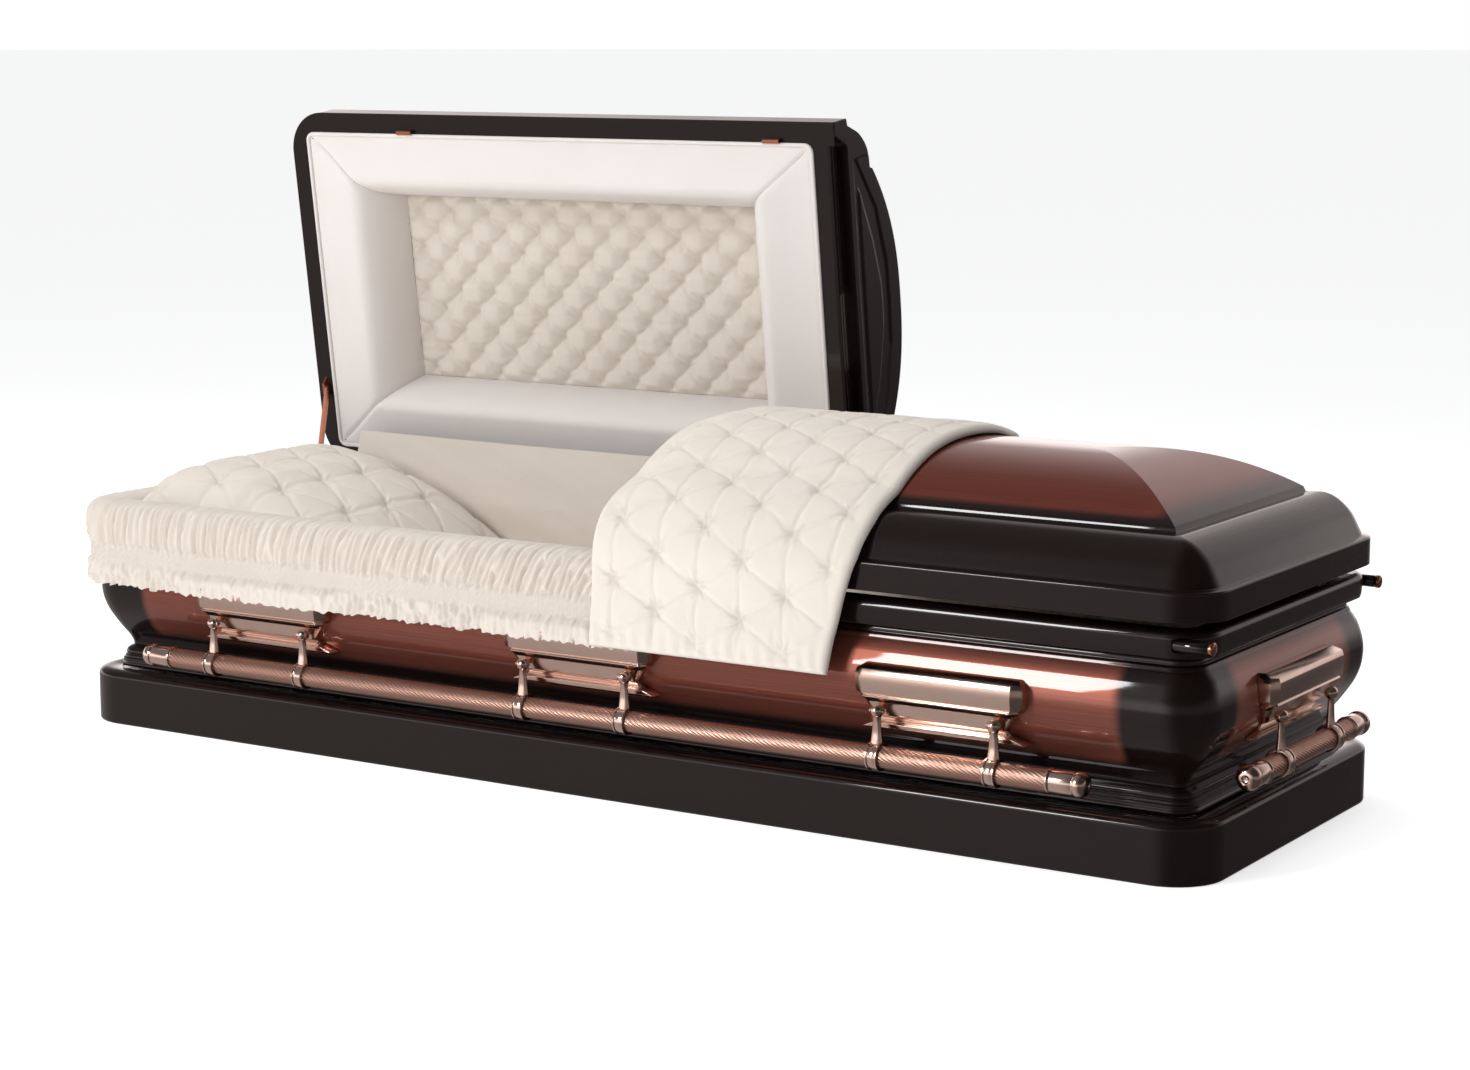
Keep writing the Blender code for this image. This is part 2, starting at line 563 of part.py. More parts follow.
def lugMesh(name, pivotReach, pivotZ):
    # cast lug seated on the shell: a stout band above a plate that tapers to a foot; -Y is outward
    levels = [(h, half, pivotReach - face, corner) for h, half, face, corner in LUG_BAND_KEYS]
    levels += list(LUG_PLATE_KEYS)
    rings = []
    for height, half, face, corner in levels:
        back = pivotReach + shellInset(pivotZ + height) - LUG_SEAT
        shoulder = min(face + 0.6 * corner, back - 0.0010)
        outline = ((-half, back), (-half, shoulder), (-half + corner, face), (half - corner, face),
                   (half, shoulder), (half, back))
        rings.append([[(x, y, height)] for x, y in outline])
    return loftMesh(name, rings)


def armMesh(name):
    # ball at the pivot, tapering stem and a collar round the bar, joined as one casting
    ballForm = bmesh.new()
    bmesh.ops.create_uvsphere(ballForm, u_segments=8, v_segments=5, radius=BALL_RADIUS)
    stemForm = bmesh.new()
    stemReach = ARM_LENGTH - BAR_RADIUS - GAP - COLLAR_WALL / 2
    bmesh.ops.create_cone(stemForm, cap_ends=True, segments=6, radius1=STEM_FOOT_RADIUS,
                          radius2=STEM_TOP_RADIUS, depth=stemReach,
                          matrix=Matrix.Translation((0, 0, -stemReach / 2)))
    bmesh.ops.scale(stemForm, vec=(1, STEM_FLATNESS, 1), verts=stemForm.verts)
    forms = []
    for form in (ballForm, stemForm):
        mesh = bpy.data.meshes.new(name)
        form.to_mesh(mesh)
        form.free()
        forms.append(place(bpy.data.objects.new(name, mesh), mesh, copper))
    inner = BAR_RADIUS + GAP
    outer = inner + COLLAR_WALL
    half = COLLAR_WIDTH / 2
    collarProfile = ((outer, half), (outer, -half), (inner, -half), (inner, half))
    forms.append(turned(name, collarProfile, copper, ring=True, location=(0, 0, -ARM_LENGTH),
                        rotation=axisAlongX))
    for extra in forms[1:]:
        union = forms[0].modifiers.new("join", "BOOLEAN")
        union.operation = "UNION"
        union.solver = "EXACT"
        union.object = extra
    graph = bpy.context.evaluated_depsgraph_get()
    joined = bpy.data.meshes.new_from_object(forms[0].evaluated_get(graph))
    cleaned = bmesh.new()
    cleaned.from_mesh(joined)
    bmesh.ops.remove_doubles(cleaned, verts=cleaned.verts, dist=0.0002)
    bmesh.ops.dissolve_degenerate(cleaned, edges=cleaned.edges, dist=0.0001)
    bmesh.ops.triangulate(cleaned, faces=cleaned.faces)
    cleaned.to_mesh(joined)
    cleaned.free()
    for form in forms:
        bpy.data.objects.remove(form, do_unlink=True)
    return joined


armForm = armMesh("handle_arm")
tipProfile = [(0.0, TIP_LENGTH)] + [(TIP_RADIUS - cut, TIP_LENGTH - back) for cut, back in TIP_KEYS]
tipProfile += [(TIP_RADIUS, TIP_ROOT), (BAR_RADIUS - TIP_ROOT / 2, GAP), (0.0, GAP)]


def handle(side, turn, faceDistance, pivotReach, pivotZ, lugForm, centres, overhang):
    # lugs fixed to the shell; arms, bar and tips hang from the axis through the lugs' balls
    spin = Matrix.Rotation(turn, 4, "Z")
    barHalf = centres[-1] + ARM_SPREAD + overhang
    origin = Vector((0, -faceDistance - pivotReach, pivotZ))
    swing = axis(side + "_handle_axis", spin @ origin, (0, 0, turn))
    for number, centre in enumerate(centres, 1):
        lug = bpy.data.objects.new("%s_lug_%d" % (side, number), lugForm)
        place(lug, lugForm, copper, location=spin @ (origin + Vector((centre, 0, 0))), rotation=(0, 0, turn))
        for count, x in ((2 * number - 1, centre - ARM_SPREAD), (2 * number, centre + ARM_SPREAD)):
            arm = bpy.data.objects.new("%s_arm_%d" % (side, count), armForm)
            place(arm, armForm, copper, location=(x, 0, 0), parent=swing)
    barProfile = ((0.0, barHalf), (BAR_RADIUS, barHalf), (BAR_RADIUS, -barHalf), (0.0, -barHalf))
    turned(side + "_handle_bar", barProfile, satinCopper, location=(0, 0, -ARM_LENGTH), rotation=axisAlongX,
           parent=swing)
    for label, sign in (("a", -1), ("b", 1)):
        turned("%s_bar_tip_%s" % (side, label), tipProfile, copper, location=(sign * barHalf, 0, -ARM_LENGTH),
               rotation=(0, sign * pi / 2, 0), parent=swing)


sidePivotZ = shellBottom + SIDE_PIVOT_HEIGHT
endPivotZ = shellBottom + END_PIVOT_HEIGHT
sideLug = lugMesh("side_lug", SIDE_PIVOT_REACH, sidePivotZ)
endLug = lugMesh("end_lug", END_PIVOT_REACH, endPivotZ)
lugReach = LID_HALF_LENGTH - LUG_END_INSET
sideCentres = (-lugReach, 0.0, lugReach)
handle("front", 0, LID_HALF_WIDTH, SIDE_PIVOT_REACH, sidePivotZ, sideLug, sideCentres, SIDE_BAR_OVERHANG)
handle("back", pi, LID_HALF_WIDTH, SIDE_PIVOT_REACH, sidePivotZ, sideLug, sideCentres, SIDE_BAR_OVERHANG)
handle("foot", pi / 2, LID_HALF_LENGTH, END_PIVOT_REACH, endPivotZ, endLug, (0.0,), END_BAR_OVERHANG)

# mattress, the cloth over it and the cloth lining up the walls
mattressBottom = shellFloor + CLOTH_GAP
mattressTop = mattressBottom + MATTRESS_THICKNESS
mattressSide = LINING_INSET + MATTRESS_SIDE_GAP
mattressKeys = ((mattressSide + MATTRESS_FOOT_TUCK, mattressBottom),
                (mattressSide, mattressBottom + MATTRESS_EDGE), (mattressSide, mattressTop - MATTRESS_EDGE),
                (mattressSide + MATTRESS_TOP_TUCK, mattressTop))
loft("mattress", [fullRing(inset, z) for inset, z in mattressKeys], crepe)
sheetBottom = mattressTop + CLOTH_GAP
sheetTop = sheetBottom + CLOTH
sheetSide = LINING_INSET + CLOTH + CLOTH_GAP
loft("bed_sheet", [fullRing(sheetSide, sheetBottom), fullRing(sheetSide, sheetTop)], crepe)
liningTop = rimTop - LINING_DROP
liningSection = ((LINING_INSET, sheetBottom), (LINING_INSET, liningTop), (LINING_INSET + CLOTH, liningTop),
                 (LINING_INSET + CLOTH, sheetBottom))
loft("body_lining", [fullRing(inset, z) for inset, z in liningSection], crepe, closed=True)

# rear apron: a cloth strip rising from the lining in front of the lid's hinge side
apronY = LID_HALF_WIDTH - LINING_INSET
apronTopY = LID_HALF_WIDTH - APRON_LEAN_INSET
apronHead = -LID_HALF_LENGTH + APRON_HEAD_INSET
apronFoot = SPLIT_X - APRON_SPLIT_GAP
apronBack = [(apronY, liningTop + CLOTH_GAP), (apronY, rimTop + CLOTH_GAP), (apronTopY, rimTop + APRON_RISE)]
apronOutline = apronBack + [(y - CLOTH, z) for y, z in reversed(apronBack)]
extruded("rear_apron", apronOutline, apronFoot - apronHead, crepe,
         location=((apronHead + apronFoot) / 2, 0, 0), rotation=alongX)

# pillow: a thick cushion on the lining, higher towards the head end
pillowHead = -LID_HALF_LENGTH + LINING_INSET + CLOTH + PILLOW_HEAD_GAP
pillowHalf = LID_HALF_WIDTH - LINING_INSET - CLOTH - PILLOW_SIDE_GAP
pillowBottom = sheetTop + CLOTH_GAP
pillowRings = []
for height, inset, lean in PILLOW_KEYS:
    ring = boxRing(pillowHead + inset, pillowHead + PILLOW_LENGTH - 1.4 * inset, pillowHalf - inset,
                   PILLOW_CORNER, pillowBottom + height)
    slope = lean * PILLOW_LEAN / PILLOW_LENGTH
    middle = pillowHead + PILLOW_LENGTH / 2
    pillowRings.append([[(x, y, z + slope * (middle - x)) for x, y, z in group] for group in ring])
loft("pillow", pillowRings, velvet)

# gathered skirt over the rim: an upside-down channel along the front and round the head end
skirtHem = sidePivotZ + LUG_BAND_KEYS[0][0] + SKIRT_GAP - rimTop
skirtSection = [(SKIRT_OUTER_KEYS[0][0], skirtHem), *SKIRT_OUTER_KEYS, *SKIRT_INNER_KEYS,
                (SKIRT_INNER_KEYS[-1][0], skirtHem)]
skirtPath = [((SPLIT_X - SKIRT_FOOT_GAP, -LID_HALF_WIDTH), (0.0, -1.0))]
for step in range(CORNER_STEPS + 1):
    angle = radians(270 - 90 * step / CORNER_STEPS)
    outward = (cos(angle), sin(angle))
    centre = (-LID_HALF_LENGTH + LID_CORNER, -LID_HALF_WIDTH + LID_CORNER)
    skirtPath.append(((centre[0] + LID_CORNER * outward[0], centre[1] + LID_CORNER * outward[1]), outward))
skirtPath.append(((-LID_HALF_LENGTH, LID_HALF_WIDTH - SKIRT_BACK_GAP), (-1.0, 0.0)))
skirtRings = []
for (px, py), (nx, ny) in skirtPath:
    skirtRings.append([[(px - nx * inset, py - ny * inset, rimTop + z)] for inset, z in skirtSection])
loft("rim_skirt", skirtRings, velvet)

# quilted throw over the foot lid, hanging down the front
throwInner = []
throwBack = LID_HALF_WIDTH - THROW_BACK_INSET
shoulderY = THROW_SHOULDER_KEYS[0][0] + THROW_SHOULDER_RUN - LID_HALF_WIDTH
for step in range(THROW_DOME_STEPS + 1):
    y = throwBack + (shoulderY - throwBack) * step / THROW_DOME_STEPS
    throwInner.append((y, lidUnderside + domeHeight(LID_HALF_WIDTH - abs(y)) + THROW_LIFT))
throwInner += [(inset - LID_HALF_WIDTH, lidUnderside + height) for inset, height in THROW_SHOULDER_KEYS]
throwFront = -LID_HALF_WIDTH - THROW_HANG_REACH
throwHem = rimTop + skirtHem
throwInner += [(throwFront, (lidUnderside + throwHem) / 2), (throwFront, throwHem)]
throwOuter = offsetPath(throwInner, -THROW_THICKNESS)
throwOuter[0] = (throwBack, throwInner[0][1] + 0.9 * THROW_THICKNESS)
throwOuter[-1] = (throwFront - THROW_THICKNESS, throwHem)
throwOutline = [(y - hingePoint.y, z - hingePoint.z) for y, z in throwInner + throwOuter[::-1]]
throwMiddle = SPLIT_X + SPLIT_GAP - THROW_OVERHANG + THROW_WIDTH / 2
extruded("foot_throw", throwOutline, THROW_WIDTH, velvet, location=(throwMiddle, 0, 0), rotation=alongX,
         parent=footLid)
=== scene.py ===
# Half-couch metal casket: lacquered shell and lids, copper plated handles, quilted and tufted cloth
import bpy
import bmesh
import math
import numpy as np
from mathutils import Matrix, Vector, noise


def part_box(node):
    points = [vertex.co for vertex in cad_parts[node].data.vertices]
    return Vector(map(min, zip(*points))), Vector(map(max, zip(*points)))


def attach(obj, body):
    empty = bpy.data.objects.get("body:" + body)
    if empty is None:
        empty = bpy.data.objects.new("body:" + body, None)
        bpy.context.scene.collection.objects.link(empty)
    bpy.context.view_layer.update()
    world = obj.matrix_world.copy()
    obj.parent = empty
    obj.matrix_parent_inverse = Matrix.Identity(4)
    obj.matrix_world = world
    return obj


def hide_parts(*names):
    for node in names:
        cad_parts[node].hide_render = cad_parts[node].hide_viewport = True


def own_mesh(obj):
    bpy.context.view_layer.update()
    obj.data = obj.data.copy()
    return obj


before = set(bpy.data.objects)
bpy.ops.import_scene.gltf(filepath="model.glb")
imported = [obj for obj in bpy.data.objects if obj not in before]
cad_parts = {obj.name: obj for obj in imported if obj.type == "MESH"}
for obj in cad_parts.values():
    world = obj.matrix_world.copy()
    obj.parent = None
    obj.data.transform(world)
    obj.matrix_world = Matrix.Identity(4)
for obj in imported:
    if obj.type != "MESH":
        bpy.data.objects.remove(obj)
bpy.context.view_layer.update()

lid = {
    "halfLength": 1.0532,
    "halfWidth": 0.3343,
    "corner": 0.0736,
    "underside": 0.3747,
    "split": 0.1120,
    "splitGap": 0.0030,
    "openAngle": 82.3,
    "hinge": (0.0, 0.3335, 0.3712),
    "sheet": 0.0012,
    "bandHeight": 0.0425,
    "domeFoot": (0.0962, 0.1190),
    "crown": 0.1895,
    "domePower": 2.4,
    "flange": 0.0400,
    "flangeSplit": 0.0470,
    "edge": 0.0014,
}
view = {
    "place": (2.7631, -4.2732, 1.1929),
    "yaw": 0.5615,
    "pitch": 0.1608,
    "lens": 77.07,
}

openTurn = (Matrix.Translation(lid["hinge"]) @ Matrix.Rotation(math.radians(-lid["openAngle"]), 4, "X")
            @ Matrix.Translation(-Vector(lid["hinge"])))


def toLinear(code):
    # an sRGB hex colour as the linear values that the shaders take
    channels = []
    for start in (1, 3, 5):
        value = int(code[start:start + 2], 16) / 255
        channels.append(value / 12.92 if value <= 0.04045 else ((value + 0.055) / 1.055) ** 2.4)
    return (*channels, 1.0)


def addNode(tree, kind, links=None, **settings):
    # one node with its settings; links fill its inputs with a value or with another node's output
    node = tree.nodes.new(kind)
    for key, value in settings.items():
        setattr(node, key, value)
    for key, value in (links or {}).items():
        if isinstance(value, bpy.types.NodeSocket):
            tree.links.new(value, node.inputs[key])
        else:
            node.inputs[key].default_value = value
    return node


def maths(tree, operation, *terms):
    return addNode(tree, "ShaderNodeMath", dict(enumerate(terms)), operation=operation).outputs[0]


def ramp(tree, value, low, high, toLow=0.0, toHigh=1.0, interpolation="SMOOTHSTEP"):
    # a value carried from one range to another
    links = {"Value": value, "From Min": low, "From Max": high, "To Min": toLow, "To Max": toHigh}
    return addNode(tree, "ShaderNodeMapRange", links, interpolation_type=interpolation).outputs[0]


def noiseAt(tree, place, scale, detail, roughness=0.5):
    links = {"Vector": place, "Scale": scale, "Detail": detail, "Roughness": roughness}
    return addNode(tree, "ShaderNodeTexNoise", links).outputs[0]


def mixColours(tree, share, first, second):
    return addNode(tree, "ShaderNodeMix", {"Factor": share, 6: first, 7: second}, data_type="RGBA").outputs[2]


def addBump(tree, shader, height, strength, distance, socket="Normal"):
    bump = addNode(tree, "ShaderNodeBump", {"Height": height, "Strength": strength, "Distance": distance})
    tree.links.new(bump.outputs[0], shader.inputs[socket])


def startMaterial(name, **sockets):
    material = bpy.data.materials.new(name)
    material.use_nodes = True
    tree = material.node_tree
    shader = tree.nodes["Principled BSDF"]
    for key, value in sockets.items():
        shader.inputs[key.replace("_", " ")].default_value = value
    return material, tree, shader


def smoothStep(low, high, value):
    share = np.clip((value - low) / (high - low), 0.0, 1.0)
    return share * share * (3 - 2 * share)


def curveThrough(keys, steps):
    # a smooth run of points through the keys
    points = []
    count = len(keys)
    for index in range(count - 1):
        p0, p1, p2, p3 = (Vector(keys[min(max(index + k, 0), count - 1)]) for k in (-1, 0, 1, 2))
        for step in range(steps):
            t = step / steps
            points.append(0.5 * (2 * p1 + (p2 - p0) * t + (2 * p0 - 5 * p1 + 4 * p2 - p3) * t * t
                                 + (3 * p1 - p0 - 3 * p2 + p3) * t ** 3))
    points.append(Vector(keys[-1]))
    return points


def eased(points, radii, steps=4, guard=0.0015):
    # the same path with its corners rounded, and a guard point beside each corner so that flats shade flat
    path = [Vector(points[0])]
    for index in range(1, len(points) - 1):
        corner = Vector(points[index])
        before = Vector(points[index - 1]) - corner
        after = Vector(points[index + 1]) - corner
        reach = min(radii[index], 0.48 * before.length, 0.48 * after.length)
        if reach < 0.0001:
            path.append(corner)
            continue
        if before.length > 2.4 * (reach + guard):
            path.append(corner + before.normalized() * (reach + guard))
        start = corner + before.normalized() * reach
        end = corner + after.normalized() * reach
        for step in range(steps + 1):
            t = step / steps
            path.append(start * (1 - t) ** 2 + corner * 2 * t * (1 - t) + end * t * t)
        if after.length > 2.4 * (reach + guard):
            path.append(corner + after.normalized() * (reach + guard))
    path.append(Vector(points[-1]))
    return path


def gridForm(points, closeAcross=False, closeAlong=False, weld=1e-6):
    # a grid moved onto rows and columns of points, welded where it meets itself
    if closeAcross:
        points = np.concatenate([points, points[:, :1]], axis=1)
    if closeAlong:
        points = np.concatenate([points, points[:1]], axis=0)
    rows, columns = points.shape[:2]
    bm = bmesh.new()
    bmesh.ops.create_grid(bm, x_segments=columns - 1, y_segments=rows - 1, size=1.0)
    for vert, place in zip(bm.verts, points.reshape(-1, 3)):
        vert.co = place
    if weld:
        bmesh.ops.remove_doubles(bm, verts=bm.verts, dist=weld)
    return bm


def capEnds(bm):
    # fills the open loops of a form and turns its faces outward
    bmesh.ops.holes_fill(bm, edges=[edge for edge in bm.edges if edge.is_boundary], sides=0)
    bmesh.ops.recalc_face_normals(bm, faces=bm.faces)


def finishPiece(name, bm, material, body, replaced=(), turn=None, smooth=True, flat=None):
    # a bmesh as an object at the origin, riding on its body
    if turn is not None:
        bmesh.ops.transform(bm, matrix=turn, verts=bm.verts)
    for face in bm.faces:
        face.smooth = smooth
    mesh = bpy.data.meshes.new(name)
    bm.to_mesh(mesh)
    bm.free()
    if flat is not None:
        mesh.set_sharp_from_angle(angle=math.radians(flat))
    piece = bpy.data.objects.new(name, mesh)
    bpy.context.scene.collection.objects.link(piece)
    mesh.materials.append(material)
    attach(piece, body)
    if replaced:
        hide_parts(*replaced)
    return piece


def turnToward(bm, direction):
    # flips an open sheet that faces away from the direction on the whole
    bm.normal_update()
    if sum(face.normal.dot(direction) * face.calc_area() for face in bm.faces) < 0:
        bmesh.ops.reverse_faces(bm, faces=bm.faces)


def joinForms(forms):
    # several forms in one bmesh
    whole = bmesh.new()
    for form in forms:
        mesh = bpy.data.meshes.new("part")
        form.to_mesh(mesh)
        form.free()
        whole.from_mesh(mesh)
        bpy.data.meshes.remove(mesh)
    return whole


def frameLoops(path, halfLength, halfWidth, corner, cornerSteps=14, sharpest=0.0008):
    # rounded rectangles at each (inset, height) of a path, the corners shrinking with the inset
    loops = np.zeros((len(path), 4 * (cornerSteps + 1), 3))
    quarter = np.radians(np.linspace(0, 90, cornerSteps + 1))
    for row, (inset, height) in enumerate(path):
        radius = max(corner - inset, sharpest if inset < halfWidth - 0.001 else 0.0)
        a = halfLength - inset - radius
        b = max(halfWidth - inset - radius, 0.0)
        for index, (sx, sy, start) in enumerate(((1, -1, -90), (1, 1, 0), (-1, 1, 90), (-1, -1, 180))):
            angle = quarter + math.radians(start)
            at = slice(index * (cornerSteps + 1), (index + 1) * (cornerSteps + 1))
            loops[row, at, 0] = sx * a + radius * np.cos(angle)
            loops[row, at, 1] = sy * b + radius * np.sin(angle)
            loops[row, at, 2] = height
    return loops


# lacquers
lacquer = {
    "ebony": "#150a09",
    "copperShell": "#945546",
    "copperDome": "#8c4232",
    "streakLength": 0.250,   # brushed lines, metres; 0.7 mm apart, drawn about as coarse as the render shows
    "streakWidth": 0.0014,
    "shellLow": (0.150, 0.176),
    "shellHigh": (0.284, 0.313),
    "shellEnds": (0.900, 0.924),
    "endHalf": (0.185, 0.225),
}


def lacquerMaterial(name, region, turned=False):
    # enamelled sheet steel: brushed copper ground, airbrushed with near-black ebony, under a polished clear coat;
    # it gives the eye sharp reflections over a satin copper glow that fades into dark borders
    material, tree, shader = startMaterial(name, Metallic=0.0, Roughness=0.42, Coat_Weight=1.0,
                                           Coat_Roughness=0.035, Coat_IOR=1.50, Specular_IOR_Level=0.12)
    place = addNode(tree, "ShaderNodeTexCoord").outputs["Object"]
    if turned:
        # the open lid's pattern is drawn as if it lay closed
        back = openTurn.inverted()
        place = addNode(tree, "ShaderNodeMapping", {"Vector": place, "Location": back.translation,
                                                    "Rotation": back.to_euler()}).outputs[0]
    x, y, z = addNode(tree, "ShaderNodeSeparateXYZ", {0: place}).outputs
    absX = maths(tree, "ABSOLUTE", x)
    absY = maths(tree, "ABSOLUTE", y)
    insetX = maths(tree, "SUBTRACT", lid["halfLength"], absX)
    insetY = maths(tree, "SUBTRACT", lid["halfWidth"], absY)
    onEnd = maths(tree, "LESS_THAN", insetX, insetY)
    # brushed lines run along each panel
    acrossX = addNode(tree, "ShaderNodeCombineXYZ", {0: y, 1: x, 2: z}).outputs[0]
    along = addNode(tree, "ShaderNodeMix", {"Factor": onEnd, 4: place, 5: acrossX}, data_type="VECTOR").outputs[1]
    fine = 1 / lacquer["streakWidth"]
    stretch = addNode(tree, "ShaderNodeVectorMath", {0: along, 1: (1 / lacquer["streakLength"], fine, fine)},
                      operation="MULTIPLY").outputs[0]
    streak = noiseAt(tree, stretch, 1.0, 4.0, 0.65)
    cloud = noiseAt(tree, place, 5.0, 2.0)
    ebony = toLinear(lacquer["ebony"])
    if region == "plain":
        base = ramp(tree, cloud, 0.0, 1.0, 0.9, 1.12, "LINEAR")
        tint = addNode(tree, "ShaderNodeVectorMath", {0: ebony[:3], "Scale": base}, operation="SCALE")
        tree.links.new(tint.outputs[0], shader.inputs["Base Color"])
    else:
        if region == "shell":
            copper = toLinear(lacquer["copperShell"])
            low = ramp(tree, z, *lacquer["shellLow"])
            high = ramp(tree, z, *reversed(lacquer["shellHigh"]))
            side = ramp(tree, absX, *reversed(lacquer["shellEnds"]))
            end = ramp(tree, absY, *reversed(lacquer["endHalf"]))
            mask = maths(tree, "MULTIPLY", maths(tree, "MAXIMUM", side, end), maths(tree, "MULTIPLY", low, high))
        else:
            copper = toLinear(lacquer["copperDome"])
            foot = lid["domeFoot"][0]
            level = lid["underside"] + lid["domeFoot"][1]
            fromSplit = maths(tree, "ABSOLUTE", maths(tree, "SUBTRACT", x, lid["split"]))
            mask = ramp(tree, insetY, foot + 0.006, foot + 0.026)
            for part in (ramp(tree, insetX, foot + 0.006, foot + 0.060), ramp(tree, fromSplit, 0.012, 0.050),
                         ramp(tree, z, level - 0.010, level)):
                mask = maths(tree, "MULTIPLY", mask, part)
        shade = ramp(tree, streak, 0.3, 0.7, 0.80, 1.18, "LINEAR")
        ground = addNode(tree, "ShaderNodeVectorMath", {0: copper[:3], "Scale": shade}, operation="SCALE")
        tree.links.new(mixColours(tree, mask, ebony, ground.outputs[0]), shader.inputs["Base Color"])
        tree.links.new(ramp(tree, mask, 0.0, 1.0, 0.05, 0.75, "LINEAR"), shader.inputs["Metallic"])
        tree.links.new(ramp(tree, streak, 0.0, 1.0, 0.30, 0.50, "LINEAR"), shader.inputs["Roughness"])
    addBump(tree, shader, cloud, 0.035, 0.02, "Coat Normal")
    return material


ebonyLacquer = lacquerMaterial("ebony_lacquer_polished", "plain")
shellLacquer = lacquerMaterial("copper_ebony_lacquer_airbrushed_shell", "shell")
domeLacquer = lacquerMaterial("copper_ebony_lacquer_airbrushed_lid", "dome")
openDomeLacquer = lacquerMaterial("copper_ebony_lacquer_airbrushed_open_lid", "dome", turned=True)


def platedMaterial(name, code, roughness, grain, bumpStrength):
    # polished copper plate over die cast zinc; it gives the eye mirror-like warm pink faces with soft uneven gloss
    material, tree, shader = startMaterial(name, Metallic=1.0, Roughness=roughness)
    place = addNode(tree, "ShaderNodeTexCoord").outputs["Object"]
    wear = noiseAt(tree, place, grain, 3.0)
    shade = toLinear(code)[:3]
    bright = tuple(min(c * 1.06, 1.0) for c in shade) + (1.0,)
    dull = tuple(c * k for c, k in zip(shade, (0.95, 0.90, 0.86))) + (1.0,)
    tree.links.new(mixColours(tree, wear, bright, dull), shader.inputs["Base Color"])
    gloss = ramp(tree, wear, 0.0, 1.0, 0.7 * roughness, 1.35 * roughness, "LINEAR")
    tree.links.new(gloss, shader.inputs["Roughness"])
    addBump(tree, shader, wear, bumpStrength, 0.001)
    return material


roseCopper = platedMaterial("rose_copper_plate_polished", "#fbe0d3", 0.17, 40.0, 0.05)
capCopper = platedMaterial("copper_plate_satin_cap", "#dc9a80", 0.22, 60.0, 0.06)
satinCopper = platedMaterial("copper_tube_satin", "#d3ab9b", 0.36, 60.0, 0.02)
tubeBlack = platedMaterial("black_lacquered_tube_gloss", "#0d0b0b", 0.06, 30.0, 0.05)
tubeShader = tubeBlack.node_tree.nodes["Principled BSDF"]
tubeShader.inputs["Metallic"].default_value = 0.0
tubeShader.inputs["Coat Weight"].default_value = 1.0
hingeSteel = platedMaterial("zinc_plated_steel_hinge", "#a9a9ad", 0.28, 120.0, 0.3)
print("materials ready")

# camera at the photograph's place, and the floor and lights of the studio
camera = bpy.data.objects.new("camera", bpy.data.cameras.new("camera"))
camera.data.lens = view["lens"]
camera.data.sensor_width = 36.0
camera.data.clip_end = 400.0
camera.location = view["place"]
level = math.cos(view["pitch"])
lookAlong = Vector((-math.sin(view["yaw"]) * level, math.cos(view["yaw"]) * level, -math.sin(view["pitch"])))
camera.rotation_euler = lookAlong.to_track_quat("-Z", "Y").to_euler()
bpy.context.scene.collection.objects.link(camera)
bpy.context.scene.camera = camera
bpy.context.scene.view_settings.view_transform = "Standard"

floorForm = bmesh.new()
bmesh.ops.create_circle(floorForm, cap_ends=True, segments=96, radius=150.0)
bmesh.ops.translate(floorForm, vec=(0, 0, -0.0002), verts=floorForm.verts)
floorMesh = bpy.data.meshes.new("floor")
floorForm.to_mesh(floorMesh)
floorForm.free()
floor = bpy.data.objects.new("floor", floorMesh)
bpy.context.scene.collection.objects.link(floor)
floorMaterial, floorTree, floorShader = startMaterial("studio_floor_matt_white", Roughness=0.85,
                                                      Base_Color=(0.86, 0.86, 0.86, 1.0), Specular_IOR_Level=0.0,
                                                      Emission_Color=(1.0, 1.0, 1.0, 1.0), Emission_Strength=0.62)
floorMesh.materials.append(floorMaterial)
floor.visible_glossy = False


def softLight(name, place, aim, size, power):
    light = bpy.data.lights.new(name, "AREA")
    light.shape = "RECTANGLE"
    light.size, light.size_y = size
    light.energy = power
    item = bpy.data.objects.new(name, light)
    item.location = place
    item.rotation_euler = (Vector(aim) - Vector(place)).to_track_quat("-Z", "Y").to_euler()
    bpy.context.scene.collection.objects.link(item)
    return item


softLight("key_softbox", (-0.60, -2.90, 1.38), (0.75, -0.3, 0.27), (0.66, 0.80), 31.0)
for name, place, size, power in (("front_strip", (-2.6, -2.6, 3.0), (3.0, 0.7), 54.0),
                                 ("overhead", (0.0, 0.3, 3.4), (4.0, 2.0), 50.0),
                                 ("front_fill", (-1.2, -4.0, 1.2), (3.0, 1.6), 3.0)):
    softLight(name, place, (0.0, 0.0, 0.35), size, power).visible_glossy = False

world = bpy.data.worlds.new("studio")
bpy.context.scene.world = world
world.use_nodes = True
studio = world.node_tree
studio.nodes.clear()
wayX, wayY, wayZ = addNode(studio, "ShaderNodeSeparateXYZ",
                           {0: addNode(studio, "ShaderNodeTexCoord").outputs["Generated"]}).outputs
